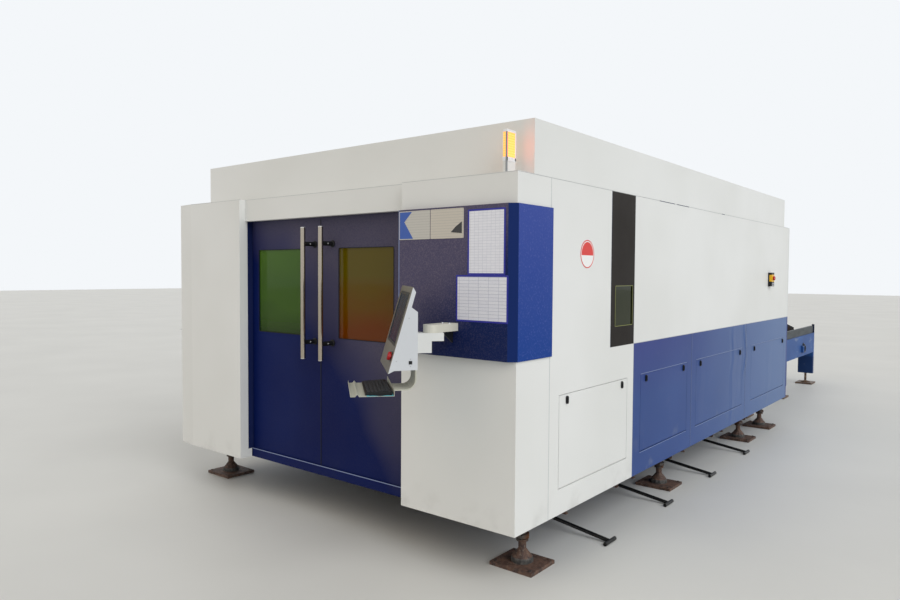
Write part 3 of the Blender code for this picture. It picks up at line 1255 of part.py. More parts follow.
def case_face():
    """Matrix from the sloping front's own axes (across, up, out) to the pendant's axes."""
    nose = Vector((0, -CASE_STAND - CASE_NOSE_DEPTH, CASE_NOSE))
    top = Vector((0, -CASE_STAND - CASE_TOP_DEPTH, CASE_TOP))
    up = (top - nose).normalized()
    across = Vector((1, 0, 0))
    out = across.cross(up)
    turn = Matrix((across, up, out)).transposed().to_4x4()
    return Matrix.Translation(nose) @ turn


def case_mesh():
    """The pendant's wedge-shaped case with its screen pocket and button bores."""
    points = ((0, CASE_BOTTOM), (0, CASE_SHOULDER), (CASE_SHELF_DEPTH, CASE_SHELF),
              (CASE_BACK_TOP_DEPTH, CASE_BACK_TOP), (CASE_TOP_DEPTH, CASE_TOP),
              (CASE_NOSE_DEPTH, CASE_NOSE), (CASE_NOTCH_DEPTH, CASE_NOTCH))
    outline = [(-CASE_WIDTH / 2, -CASE_STAND - depth, height) for depth, height in points]
    body = prism(outline, Vector((CASE_WIDTH, 0, 0)))
    face = case_face()
    pocket = block((-SCREEN_WIDTH / 2, SCREEN_RISE, -SCREEN_DEPTH),
                   (SCREEN_WIDTH / 2, SCREEN_RISE + SCREEN_HEIGHT, OVERRUN))
    pocket.transform(face)
    tools = [pocket]
    for side, radius, length in ((PENDANT_STOP_SIDE, STOP_STEM_RADIUS, STOP_STEM_LENGTH),
                                 (PENDANT_START_SIDE, START_STEM_RADIUS, START_STEM_LENGTH)):
        bore = button_bore(radius, length)
        bore.transform(face @ Matrix.Translation((side, PENDANT_BUTTON_RISE, 0)))
        tools.append(bore)
    return cut(body, tools)


def tray_mesh():
    """The keyboard tray and the bent strap that hangs it from the case."""
    def depth_point(depth, height):
        return -CASE_STAND - depth, height

    ridge = TRAY_FRONT_DEPTH - TRAY_GROOVE_WIDTH
    profile = [(TRAY_BACK_DEPTH, TRAY_BOTTOM + TRAY_BACK_HEIGHT), (TRAY_BACK_DEPTH, TRAY_BOTTOM),
               (ridge, TRAY_BOTTOM), (ridge + TRAY_GROOVE_WIDTH / 4, TRAY_BOTTOM + TRAY_GROOVE_HEIGHT),
               (ridge + TRAY_GROOVE_WIDTH / 2, TRAY_BOTTOM), (TRAY_FRONT_DEPTH, TRAY_BOTTOM),
               (TRAY_FRONT_DEPTH, TRAY_BOTTOM + TRAY_LIP_HEIGHT)]
    points = [(TRAY_FAR, *depth_point(depth, height)) for depth, height in profile]
    tray = profile_sheet(points, Vector((TRAY_NEAR - TRAY_FAR, 0, 0)), TRAY_SHEET)
    outer, inner = [], []
    centre_depth = STRAP_DEPTH + STRAP_RADIUS
    centre_height = STRAP_LEVEL + STRAP_RADIUS
    for step in range(STRAP_STEPS + 1):
        angle = QUARTER_TURN * step / STRAP_STEPS
        for line, radius in ((outer, STRAP_RADIUS), (inner, STRAP_RADIUS - STRAP_THICKNESS)):
            line.append((centre_depth - radius * math.cos(angle),
                         centre_height - radius * math.sin(angle)))
    end = TRAY_BACK_DEPTH - TRAY_SHEET / 2
    outline = [(STRAP_DEPTH, CASE_BOTTOM - FIT)] + outer + [(end, STRAP_LEVEL)]
    outline += [(end, STRAP_LEVEL + STRAP_THICKNESS)] + inner[::-1]
    outline.append((STRAP_DEPTH + STRAP_THICKNESS, CASE_BOTTOM - FIT))
    near = TRAY_NEAR - FIT
    strap = prism([(near - STRAP_WIDTH, *depth_point(*point)) for point in outline],
                  Vector((STRAP_WIDTH, 0, 0)))
    return welded(tray, (strap,))


def keyboard_mesh():
    """A wedge-shaped keyboard lying in the tray."""
    base = TRAY_BOTTOM + FIT
    back = -CASE_STAND - TRAY_BACK_DEPTH - KEYBOARD_INSET
    front = back - KEYBOARD_DEPTH
    middle = (TRAY_NEAR + TRAY_FAR) / 2
    left = middle - KEYBOARD_WIDTH / 2
    outline = ((left, back, base), (left, front, base), (left, front, base + KEYBOARD_FRONT_THICKNESS),
               (left, back, base + KEYBOARD_THICKNESS))
    return prism(outline, Vector((KEYBOARD_WIDTH, 0, 0)))


def make_pendant():
    """The pendant, built facing forward about its swivel axis and then turned to its rest yaw."""
    make_bracket()
    turn = Matrix.Translation((SWIVEL_X, SWIVEL_Y, 0)) @ Matrix.Rotation(-PENDANT_YAW, 4, "Z")
    pivot = (SWIVEL_X, SWIVEL_Y, BRACKET_BOTTOM)
    face = case_face()
    screen = block((-SCREEN_WIDTH / 2 + FIT, SCREEN_RISE + FIT, -SCREEN_DEPTH + FIT),
                   (SCREEN_WIDTH / 2 - FIT, SCREEN_RISE + SCREEN_HEIGHT - FIT, -FIT))
    screen.transform(face)
    fixed = (("pendant_neck", neck_mesh(), "white"), ("pendant_case", case_mesh(), "white"),
             ("pendant_screen", screen, "screen"), ("keyboard_tray", tray_mesh(), "white"),
             ("keyboard", keyboard_mesh(), "black"))
    for name, mesh, colour in fixed:
        mesh.transform(turn)
        place(name, mesh, colour, pivot)
    stop = button_mesh(STOP_CAP_RADIUS, STOP_CAP_HEIGHT, STOP_STEM_RADIUS, STOP_STEM_LENGTH)
    start = button_mesh(START_CAP_RADIUS, START_CAP_HEIGHT, START_STEM_RADIUS, START_STEM_LENGTH)
    for name, mesh, side, colour in (("pendant_stop", stop, PENDANT_STOP_SIDE, "red"),
                                     ("pendant_start", start, PENDANT_START_SIDE, "green")):
        seat = turn @ face @ Matrix.Translation((side, PENDANT_BUTTON_RISE, 0))
        mesh.transform(seat)
        place(name, mesh, colour, seat.translation, smooth=math.radians(40))


def carry_all():
    """Hang every piece on one empty that centres the footprint on the origin."""
    bpy.context.view_layer.update()
    pieces = [piece for piece in bpy.context.scene.objects if piece.type == "MESH"]
    corners = [piece.matrix_world @ vertex.co for piece in pieces for vertex in piece.data.vertices]
    middle = [(min(corner[axis] for corner in corners) + max(corner[axis] for corner in corners)) / 2
              for axis in range(2)]
    carrier = bpy.data.objects.new("machine", None)
    bpy.context.scene.collection.objects.link(carrier)
    for piece in pieces:
        piece.parent = carrier
    carrier.location = (-middle[0], -middle[1], 0)


def main():
    clear_scene()
    make_main_frame()
    make_front_cabinets()
    make_header_and_sill()
    make_doors()
    make_right_side()
    make_covers()
    make_roof()
    make_left_and_rear_walls()
    make_wrap()
    make_beacon()
    make_stop_box()
    make_table()
    make_pallet("pallet_upper", OUTER_PALLET_START, UPPER_LEVEL)
    make_pallet("pallet_lower", INNER_PALLET_START, LOWER_LEVEL)
    make_drawers()
    make_gantry()
    make_pendant()
    carry_all()


main()
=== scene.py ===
"""Finishes and fine parts for the enclosed laser cutting machine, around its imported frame."""
import functools
import json
import math
from collections import namedtuple

import bmesh
import bpy
from bpy.props import FloatProperty, FloatVectorProperty, IntProperty, PointerProperty
from mathutils import Matrix, Vector


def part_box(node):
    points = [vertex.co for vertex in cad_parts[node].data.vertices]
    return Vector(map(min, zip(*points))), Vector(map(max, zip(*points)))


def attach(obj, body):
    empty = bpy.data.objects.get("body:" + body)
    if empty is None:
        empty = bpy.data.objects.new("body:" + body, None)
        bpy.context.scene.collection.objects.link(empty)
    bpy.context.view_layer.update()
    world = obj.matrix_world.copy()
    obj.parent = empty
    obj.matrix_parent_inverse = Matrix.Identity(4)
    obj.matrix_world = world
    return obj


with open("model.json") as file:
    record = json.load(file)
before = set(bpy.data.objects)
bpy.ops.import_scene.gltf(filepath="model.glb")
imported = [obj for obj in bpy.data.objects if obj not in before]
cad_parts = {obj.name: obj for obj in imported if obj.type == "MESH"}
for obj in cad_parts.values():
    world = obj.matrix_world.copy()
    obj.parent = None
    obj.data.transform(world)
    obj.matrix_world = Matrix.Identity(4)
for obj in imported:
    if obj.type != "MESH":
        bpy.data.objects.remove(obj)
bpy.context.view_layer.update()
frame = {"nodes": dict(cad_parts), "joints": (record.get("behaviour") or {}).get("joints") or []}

bl_info = {
    "name": "Laser cutting machine dresser",
    "version": (1, 0, 0),
    "blender": (4, 5, 0),
    "location": "3D View > Sidebar > Machine",
    "description": "Finishes, seams, seals, labels, pendant parts and the studio of a laser cutting machine",
    "category": "Object",
}

NODES = frame["nodes"]
FULL_TURN = 2 * math.pi
MM = 0.001

# Levelling feet: inset from each long side, places along Y, half a plate's bolt pattern, and its top
FOOT_INSET = 0.17
FOOT_PLACES = (0.335, 2.235, 4.190, 4.920)
FOOT_BOLTS = (0.112, 0.097)
FOOT_PLATE_TOP = 0.0198

# The wrap's folded edge, the bracket gusset's top, the top of the frame's dark rust and painted shade,
# where the table paint ends, and the height of the table's guides
WRAP_FOLD = 0.038
GUSSET_TOP = 1.301
FRAME_RUST_AND_SHADE_TOP = 0.2843
TABLE_PAINT_END = 0.15465
GUIDE_HEIGHT = 0.124

# The pendant in its own frame: X across, Y to the rear from the swivel, Z over the floor
CASE_BACK = -0.096
CASE_SIDE = 0.25
FACE_NOSE = Vector((0, CASE_BACK - 0.139, 1.131))
SCREEN_SIZE = (0.36, 0.25)
SCREEN_RISE = 0.26
BUTTON_RISE = 0.078
TRAY_TOP = 1.029
KEYBOARD_MIDDLE = Vector((0.04, CASE_BACK - 0.1795, TRAY_TOP + 0.0143))
KEYBOARD_RISE = math.atan2(0.008, 0.125)

# The two label plates: size and lower edge, and their coloured fields as shares of the size
LABEL_WIDTH, LABEL_HEIGHT, LABEL_LOW = 0.223, 0.155, 1.782
LEFT_FIELD_SHARES = ((0.02, 0.03), (0.46, 0.03), (0.17, 0.62), (0.42, 0.97), (0.02, 0.97))
RIGHT_FIELD_SHARES = ((0.62, 0.20), (0.95, 0.16), (0.95, 0.55), (0.76, 0.38))

# Creases of the lower side sheets: place along Y, half width, lowest and highest Z, and depth share
SIDE_CREASES = ((3.44, 0.10, 0.30, 1.10, 1.0), (3.36, 0.05, 0.80, 1.12, -0.6),
                (3.762, 0.05, 0.72, 1.15, 2.2), (3.66, 0.09, 0.55, 1.12, -0.7),
                (4.55, 0.12, 0.40, 0.90, 0.35), (2.62, 0.12, 0.45, 1.00, 0.3))

# Places are given from the lower front corner of the right long side: X outwards, Y rearwards
CORNER = Vector((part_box("front_cabinet")[1].x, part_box("front_cabinet")[0].y, 0))

# Painted reflection on a textured coat: its grain's colour, and the painted reflection's colour, share,
# first and last height at the corner, and how far these heights drop for each metre towards the corner
Film = namedtuple("Film", "fleck dust share start end lean")


def node_box(name):
    """A CAD node's low and high corners, measured from the machine's front right corner."""
    low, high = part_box(name)
    return low - CORNER, high - CORNER


def pendant_places():
    """The pendant's own frame over its swivel, and the frame of its sloping face at the nose."""
    joints = {joint["name"]: joint for joint in frame["joints"]}
    pivot = Vector(joints["pendant_swivel"]["pos_m"]) - CORNER
    out = -Vector(joints["pendant_stop_press"]["axis"]).normalized()
    across = Vector((0, 0, 1)).cross(out).normalized()
    turn = Matrix.Rotation(math.atan2(across.y, across.x), 4, "Z")
    local = Matrix.Translation((pivot.x, pivot.y, 0)) @ turn
    axes = Matrix((across, out.cross(across), out)).transposed().to_4x4()
    return pivot, local, Matrix.Translation(local @ FACE_NOSE) @ axes


# Building blocks of the materials

def linear(code):
    """Linear colour of an sRGB hex value such as "d9e1e2"."""
    values = [int(code[place:place + 2], 16) / 255 for place in (0, 2, 4)]
    return tuple(v / 12.92 if v <= 0.04045 else ((v + 0.055) / 1.055) ** 2.4 for v in values)


def put(socket, value):
    """Link a socket to an output, or set it. A text is a hex colour."""
    if isinstance(value, bpy.types.NodeSocket):
        socket.id_data.links.new(value, socket)
    else:
        socket.default_value = (*linear(value), 1.0) if isinstance(value, str) else value


def feed(node, **inputs):
    """Set or link a node's inputs, named with underscores for spaces."""
    for name, value in inputs.items():
        put(node.inputs[name.replace("_", " ")], value)


def add_node(tree, kind, *values, output=None, **settings):
    """Add a node and return an output, by default its first.

    The kind may carry a mode, as in "Math.ADD". Values go to the inputs in their order, and
    settings are properties or named inputs.
    """
    kind, _, mode = kind.partition(".")
    node = tree.nodes.new("ShaderNode" + kind)
    if mode:
        setattr(node, "data_type" if kind == "Mix" else "operation", mode)
    for name, value in settings.items():
        if hasattr(node, name):
            setattr(node, name, value)
        else:
            feed(node, **{name: value})
    for socket, value in zip([entry for entry in node.inputs if entry.enabled], values):
        put(socket, value)
    return node.outputs[output] if output else next(entry for entry in node.outputs if entry.enabled)


def opened(material):
    """A material's shader, its function that adds a node, and the place it is drawn from."""
    tree = material.node_tree
    place = tree.nodes["Texture Coordinate"].outputs["Object"]
    return tree.nodes["Principled BSDF"], functools.partial(add_node, tree), place


def new_material(name, code, roughness, **inputs):
    """A Principled material and what opened gives of it."""
    material = bpy.data.materials.new(name)
    material.use_nodes = True
    material.node_tree.nodes.new("ShaderNodeTexCoord")
    feed(material.node_tree.nodes["Principled BSDF"], Base_Color=code, Roughness=roughness, **inputs)
    return material, *opened(material)


def repaint(shader, add, share, tone):
    """Blend another colour over the shader's own where the share is 1."""
    base = shader.inputs["Base Color"]
    put(base, add("Mix.RGBA", share, base.links[0].from_socket, tone))


def speckle(add, place, size_mm, detail=2.0, stretch=(1, 1, 1)):
    """Noise whose spots are about size_mm across, drawn out along the axes by stretch."""
    drawn = add("Mapping", place, Scale=tuple(1 / value for value in stretch))
    return add("TexNoise", drawn, Scale=1000 / size_mm, Detail=detail)


def along(add, place, axis):
    """Distance from the machine's front right corner along an axis."""
    return add("Math.SUBTRACT", add("SeparateXYZ", place, output=axis), CORNER["XYZ".index(axis)])


# Materials

def powder_coat(name, code, shade, roughness, peel_mm, peel_depth_mm, grime="8c8a84",
                grime_share=0.3, sheen=0.5, film=None):
    """Baked powder on sheet steel: orange peel breaks up the highlights, soil gathers low down.

    The real peel is finer, a few millimetres at most, and is drawn as coarse as it needs to show.
    A film paints the reflection seen on a textured powder: a painted purple-grey sheen above a given
    height, where the coarse two-tone grain shows, partly real grain and partly painted sparkle.
    """
    material, shader, add, place = new_material(name, code, roughness, Specular_IOR_Level=sheen)
    level = along(add, place, "Z")
    cloud = add("MapRange", speckle(add, place, 900), 0.35, 0.65)
    tone = add("Mix.RGBA", cloud, code, shade)
    peel = speckle(add, place, peel_mm, 1.0)
    if film:
        # Painted reflection: a purple-grey tone above a height, and the grain shows most where it lies
        uneven = add("Math.MULTIPLY_ADD", speckle(add, place, 700, 2.0), 0.9, -0.45)
        uneven = add("Math.MULTIPLY_ADD", along(add, place, "X"), film.lean, uneven)
        reflection_mask = add("MapRange", add("Math.ADD", level, uneven), film.start, film.end)
        tone = add("Mix.RGBA", add("Math.MULTIPLY", reflection_mask, film.share), tone, film.dust)
        grain = add("MapRange", peel, 0.45, 0.70, 0.0, 0.45)
        grain = add("Math.MULTIPLY", grain, add("MapRange", reflection_mask, 0.0, 1.0, 0.3, 1.0))
        tone = add("Mix.RGBA", grain, tone, film.fleck)
    scuffs = add("MapRange", speckle(add, place, 160, 6.0), 0.52, 0.74)
    low = add("MapRange", level, 0.26, 0.45, grime_share, 0.0)
    height = add("Math.MULTIPLY_ADD", speckle(add, place, 420, 0.0), 14.0, peel)
    wiped = speckle(add, place, 240, 3.0)
    feed(shader, Base_Color=add("Mix.RGBA", add("Math.MULTIPLY", scuffs, low), tone, grime),
         Roughness=add("MapRange", wiped, 0.3, 0.7, roughness - 0.04, roughness + 0.06),
         Normal=add("Bump", Height=height, Distance=peel_depth_mm * MM))
    return material


def make_wrap_paint():
    """Corner box: grained navy powder, dull on the front, with painted shade down its folded edge.

    The side face is painted a brighter blue, paler towards the top, for the light that falls on it.
    """
    low, high = node_box("blue_wrap")
    # The film paints a purple-grey reflection on the upper front
    material = powder_coat("textured_navy_powder_coat", "0a1c4c", "0c2154", 0.48, 6, 0.30,
                           grime="2d3450", sheen=0.12,
                           film=Film("766c7a", "544f66", 0.85, 1.66, 2.06, -0.8))
    shader, add, place = opened(material)
    across = along(add, place, "X")
    fold = high.x - WRAP_FOLD
    # Painted shade: the folded edge's facet gets a darker navy of the same paint
    repaint(shader, add, add("MapRange", across, fold - 0.0005, fold + 0.0005), "08235c")
    # Painted light: the side face is brighter blue, paler towards the top, with real grain flecks
    level = add("MapRange", along(add, place, "Z"), low.z, high.z)
    # The powder's grain is finer than this, and is drawn at 10 mm so that it shows on the side
    grain = add("MapRange", speckle(add, place, 10, 1.0), 0.55, 0.75, 0.0, 0.25)
    painted_side_light = add("Mix.RGBA", grain, add("Mix.RGBA", level, "103b88", "374a96"), "6a74b4")
    repaint(shader, add, add("MapRange", across, high.x - 0.0015, high.x - 0.0005), painted_side_light)
    return material


def make_side_enamel():
    """Lower side panels: blue enamel on thin sheet, dented and creased beside the rear joint.

    The sheet is so thin that it waves between its folds. It is painted paler towards the rear, a painted
    sheen where it is seen at a slant, and a painted reflection tints its upper front purple.
    """
    material, shader, add, place = new_material("satin_blue_enamel", "2a4179", 0.38,
                                                Specular_IOR_Level=0.15)
    y, z = along(add, place, "Y"), along(add, place, "Z")
    cloud = add("MapRange", speckle(add, place, 700, 1.0), 0.35, 0.65)
    tone = add("Mix.RGBA", cloud, "2c4680", "324d88")
    # Painted sheen: paler towards the rear, where the sheet is seen at a slant
    tone = add("Mix.RGBA", add("MapRange", y, 2.2, 4.8), tone, "57709c")
    # Painted reflection: a purple tint over the upper front of the panels
    upper = add("Math.MULTIPLY", add("MapRange", z, 0.78, 1.15), add("MapRange", y, 3.3, 1.5))
    tone = add("Mix.RGBA", add("Math.MULTIPLY", upper, 0.55), tone, "33307a")
    scuffs = add("MapRange", speckle(add, place, 120, 6.0), 0.60, 0.74)
    low = add("MapRange", z, 0.29, 0.55, 0.5, 0.04)
    tone = add("Mix.RGBA", add("Math.MULTIPLY", scuffs, low), tone, "7c8494")
    wander = add("Math.MULTIPLY_ADD", speckle(add, place, 320, 1.0), 0.22, -0.11)
    height = add("Math.MULTIPLY", speckle(add, place, 480, 0.0), 1.4)
    for at, width, bottom, top, depth in SIDE_CREASES:
        off = add("Math.ABSOLUTE", add("Math.SUBTRACT", add("Math.ADD", y, wander), at))
        reach = add("Math.MULTIPLY", add("MapRange", z, bottom - 0.08, bottom + 0.08),
                    add("MapRange", z, top + 0.08, top - 0.08))
        fold = add("Math.MULTIPLY", add("MapRange", off, width, 0.0), reach)
        height = add("Math.ADD", height, add("Math.MULTIPLY", fold, depth))
    height = add("Math.MULTIPLY_ADD", speckle(add, place, 6, 1.0), 0.008, height)
    feed(shader, Base_Color=tone, Normal=add("Bump", Height=height, Distance=5.0 * MM))
    return material


def make_rear_paint():
    """Rear wall: white powder coat, with the side's blue carried round its lower right edge."""
    joint = node_box("side_panel_upper")[0].z
    material = powder_coat("white_and_blue_rear_coat", "d6d8d6", "dddfde", 0.42, 7, 0.05, sheen=0.3)
    shader, add, place = opened(material)
    edge = add("MapRange", along(add, place, "X"), -0.0025, -0.0015)
    below = add("MapRange", along(add, place, "Z"), joint + 0.001, joint - 0.001)
    repaint(shader, add, add("Math.MULTIPLY", edge, below), "34467f")
    return material


def brushed_steel(name, code, roughness, axis):
    """Stainless steel ground along one direction: fine streaks that soften the reflection.

    The real lines are far finer, and are drawn 1.5 mm wide so that they show.
    """
    material, shader, add, place = new_material(name, code, roughness, Metallic=1.0)
    streaks = speckle(add, place, 1.5, 2.0, [60 if letter == axis else 1 for letter in "XYZ"])
    feed(shader, Roughness=add("MapRange", streaks, 0.3, 0.7, roughness - 0.08, roughness + 0.12),
         Normal=add("Bump", Height=streaks, Distance=0.02 * MM))
    return material


def scaled_steel(name, code, rust, rust_share, roughness=0.62, bare="6f6e6c"):
    """Hot-rolled steel with blue-grey mill scale and patches of brown rust."""
    material, shader, add, place = new_material(name, code, roughness, Metallic=0.65)
    patches = add("MapRange", speckle(add, place, 45, 6.0), 1 - rust_share, 1 - rust_share / 2)
    pale = add("MapRange", speckle(add, place, 14, 4.0), 0.45, 0.75, 0.0, 0.5)
    feed(shader, Base_Color=add("Mix.RGBA", patches, add("Mix.RGBA", pale, code, bare), rust),
         Roughness=add("MapRange", patches, 0.0, 1.0, roughness - 0.12, 0.85),
         Normal=add("Bump", Height=speckle(add, place, 6, 4.0), Distance=0.4 * MM))
    return material


def moulded_plastic(name, code, roughness):
    """Injection-moulded ABS with a fine spark-eroded grain, which dulls its highlights.

    The real grain is far finer, and is drawn at 1.2 mm so that it shows.
    """
    material, shader, add, place = new_material(name, code, roughness, Specular_IOR_Level=0.3)
    grain = speckle(add, place, 1.2)
    feed(shader, Roughness=add("MapRange", grain, 0.3, 0.7, roughness - 0.04, roughness + 0.06),
         Normal=add("Bump", Height=grain, Distance=0.05 * MM))
    return material


def make_case_paint():
    """Pendant case: pale grey powder coat, and a satin anodised panel on its sloping face."""
    material = powder_coat("pale_grey_case_coat", "c4c8cd", "cbcfd3", 0.40, 4, 0.04, grime_share=0.0)
    shader, add, place = opened(material)
    face = pendant_places()[2]
    out, nose = face.to_3x3().col[2], face.translation + CORNER
    depth = add("Math.SUBTRACT", add("VectorMath.DOT_PRODUCT", place, tuple(out)), out.dot(nose))
    panel = add("MapRange", depth, -0.0012, -0.0008)
    # The panel's brushed lines are finer than this, and are drawn at 4 mm so that they show
    grain = add("MapRange", speckle(add, place, 4, 2.0, (1, 1, 20)), 0.3, 0.7)
    repaint(shader, add, panel, add("Mix.RGBA", grain, "7d796e", "a09b8e"))
    feed(shader, Metallic=add("Math.MULTIPLY", panel, 0.7))
    return material


def make_bracket_paint():
    """Pendant bracket: cream powder coat on the arm, and a painted shadow in near-black on the gusset under
    it.
    """
    material = powder_coat("cream_powder_coat", "cfcdc0", "d8d6ca", 0.45, 5, 0.04, grime_share=0.0)
    shader, add, place = opened(material)
    level = along(add, place, "Z")
    # Painted shadow: the gusset under the arm is coloured near-black
    repaint(shader, add, add("MapRange", level, GUSSET_TOP - 0.0002, GUSSET_TOP + 0.0002, 1.0, 0.0), "14161c")
    return material


def make_frame_paint():
    """Frame weldment: satin blue paint above; below, rusty screws and plates with steel pads, and the same
    dark rust as painted shade on the runner ends.
    """
    material, shader, add, place = new_material("satin_frame_paint", "2c4c86", 0.45)
    level = along(add, place, "Z")
    cloud = add("MapRange", speckle(add, place, 300), 0.35, 0.65)
    chips = add("MapRange", speckle(add, place, 22, 7.0), 0.66, 0.70, 0.0, 0.8)
    paint = add("Mix.RGBA", chips, add("Mix.RGBA", cloud, "2c4c86", "35588f"), "20304e")
    rust = add("MapRange", speckle(add, place, 30, 6.0), 0.38, 0.62)
    spots = add("MapRange", speckle(add, place, 12, 5.0), 0.55, 0.75)
    rust = add("Mix.RGBA", spots, add("Mix.RGBA", rust, "3c2c27", "644a3c"), "75685c")
    worn = add("MapRange", speckle(add, place, 18, 4.0), 0.4, 0.7)
    # Below this height the frame is dark rust: real on the feet, screws and plates, painted shade on the
    # runner ends
    below = add("MapRange", level, FRAME_RUST_AND_SHADE_TOP - 0.0001, FRAME_RUST_AND_SHADE_TOP + 0.0001, 1.0, 0.0)
    pad = add("Math.MULTIPLY", add("MapRange", level, 0.0206, 0.0212),
              add("MapRange", level, 0.050, 0.046))
    tone = add("Mix.RGBA", pad, add("Mix.RGBA", below, paint, rust),
               add("Mix.RGBA", worn, "353433", "5b5854"))
    feed(shader, Base_Color=tone, Roughness=add("MapRange", below, 0.0, 1.0, 0.42, 0.72),
         Normal=add("Bump", Height=speckle(add, place, 5, 3.0), Distance=0.25 * MM))
    return material


def make_table_paint():
    """Exchange table: blue paint rubbed by sheets, bare worn guides, rusty floor plates, painted shade on the
    legs.
    """
    material, shader, add, place = new_material("rubbed_table_paint", "24406f", 0.45,
                                                Specular_IOR_Level=0.15)
    level, y = along(add, place, "Z"), along(add, place, "Y")
    guide_low = node_box("table_frame")[1].z - GUIDE_HEIGHT
    table_end = node_box("pallet_upper")[1].y
    cloud = add("MapRange", speckle(add, place, 350), 0.35, 0.65)
    rubs = add("MapRange", speckle(add, place, 70, 6.0, (1, 4, 1)), 0.62, 0.70, 0.0, 0.6)
    paint = add("Mix.RGBA", rubs, add("Mix.RGBA", cloud, "254b86", "2d5592"), "7584a0")
    # Painted shade: a darker navy below 0.43 m, on the legs under the side beam
    painted_leg_shade = add("MapRange", level, 0.43, 0.39, 0.0, 0.7)
    paint = add("Mix.RGBA", painted_leg_shade, paint, "182a50")
    worn = add("MapRange", speckle(add, place, 40, 4.0, (1, 5, 1)), 0.4, 0.7)
    high = add("MapRange", level, guide_low - 0.0005, guide_low + 0.0005)
    before_end = add("MapRange", y, table_end - 0.002, table_end + 0.004, 1.0, 0.0)
    past_end = add("MapRange", y, table_end - 0.002, table_end + 0.004)
    tone = add("Mix.RGBA", add("Math.MULTIPLY", high, before_end), paint,
               add("Mix.RGBA", worn, "40474c", "303436"))
    tone = add("Mix.RGBA", add("Math.MULTIPLY", high, past_end), tone, "17223c")
    rust = add("MapRange", speckle(add, place, 30, 6.0), 0.38, 0.62)
    foot = add("MapRange", level, TABLE_PAINT_END - 0.00015, TABLE_PAINT_END + 0.00015, 1.0, 0.0)
    feed(shader, Base_Color=add("Mix.RGBA", foot, tone, add("Mix.RGBA", rust, "4b3a30", "7a6553")),
         Normal=add("Bump", Height=speckle(add, place, 6, 3.0), Distance=0.2 * MM))
    return material


def laser_pane(name, colours, edges, seen, ripple_mm):
    """Laser-safe acrylic: dyed through, glossy, drawn in soft ripples that bend what it mirrors, with painted
    reflection and shade in bands.
    """
    upper, middle, lower = colours
    bottom, first, second, top = edges
    material, shader, add, place = new_material(name, middle, 0.05, Transmission_Weight=seen, IOR=1.49,
                                                Specular_IOR_Level=0.06)
    drift = add("Math.MULTIPLY_ADD", speckle(add, place, 420, 1.0, (1.6, 1, 0.6)), 0.24, -0.12)
    level = add("Math.ADD", along(add, place, "Z"), drift)
    # Painted reflection and shade: three colours graded by height in wavy bands
    tone = add("Mix.RGBA", add("MapRange", level, bottom, first), lower, middle)
    tone = add("Mix.RGBA", add("MapRange", level, second, top), tone, upper)
    ripples = speckle(add, place, 260, 0.0, (1.8, 1, 0.7))
    feed(shader, Base_Color=tone,
         Normal=add("Bump", Height=ripples, Distance=ripple_mm * MM, Strength=0.5))
    return material


def make_lens():
    """Signal lens: polycarbonate over lit amber diodes, so bright that its middle looks yellow."""
    material, shader, add, place = new_material("lit_ribbed_polycarbonate", "f6c95a", 0.25,
                                                Emission_Strength=3.9)
    low, high = node_box("beacon_lens")
    ribs = add("TexWave", place, Scale=1000 / 40, bands_direction="Z", output="Fac")
    level = add("MapRange", along(add, place, "Z"), low.z, high.z)
    outer = add("MapRange", along(add, place, "X"), high.x - 0.003, high.x - 0.001)
    glow = add("Mix.RGBA", outer, "945626", add("Mix.RGBA", level, "ff5e2c", "ff5726"))
    feed(shader, Emission_Color=glow, Base_Color=add("Mix.RGBA", ribs, "d9a63c", "e6bd6a"),
         Normal=add("Bump", Height=ribs, Distance=0.5 * MM))
    return material


def make_screen():
    """Pendant display: dark anti-glare glass with plain lit panes behind it, 100 by 39 mm each."""
    material, shader, add, place = new_material("lit_display_glass", "0a0d12", 0.18,
                                                Emission_Strength=0.35)
    feed(shader, Emission_Color=add("TexBrick", place, "1d3550", "284b66", "0b1119", Scale=9.0,
                                    Mortar_Size=0.02, Brick_Width=0.9, Row_Height=0.35))
    return material


def make_paper(name, code, shade, rule_code, columns_mm, rows_mm, writing_share):
    """Printed form under clear PVC: thin ruled lines, faint rows of writing, a glossy cover."""
    material, shader, add, place = new_material(name, code, 0.45, Coat_Weight=0.5, Coat_Roughness=0.10)
    upright = add("Mapping", place, Rotation=(math.radians(90), 0, 0))
    rules = add("TexBrick", upright, code, shade, rule_code, Scale=1.0, Mortar_Size=0.9 * MM,
                Mortar_Smooth=0.4, Brick_Width=columns_mm * MM, Row_Height=rows_mm * MM, offset=0.0)
    writing = add("MapRange", speckle(add, place, 3, 2.0, (5, 1, 1)), 0.62, 0.70, 0.0, writing_share)
    feed(shader, Base_Color=add("Mix.RGBA", writing, rules, "8b8da0"),
         Normal=add("Bump", Height=speckle(add, place, 90, 1.0), Distance=0.6 * MM))
    return material


def make_floor_material():
    """Plain pale studio floor of trowelled screed, slightly clouded."""
    material, shader, add, place = new_material("studio_floor", "cfcfcb", 0.55)
    cloud = add("MapRange", speckle(add, place, 1500, 3.0), 0.3, 0.7)
    feed(shader, Base_Color=add("Mix.RGBA", cloud, "cdcdc9", "d3d3cf"))
    return material


# Mesh building

def finished(name, mesh, material, body, smooth=None):
    """Link a piece, put its finish on it and let it ride on its body."""
    mesh.name = name
    mesh.transform(Matrix.Translation(CORNER))
    mesh.materials.append(material)
    if smooth is not None:
        mesh.shade_smooth()
        mesh.set_sharp_from_angle(angle=math.radians(smooth))
    piece = bpy.data.objects.new(name, mesh)
    bpy.context.scene.collection.objects.link(piece)
    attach(piece, body)


def as_mesh(edit):
    mesh = bpy.data.meshes.new("piece")
    bmesh.ops.recalc_face_normals(edit, faces=edit.faces)
    edit.to_mesh(mesh)
    edit.free()
    return mesh


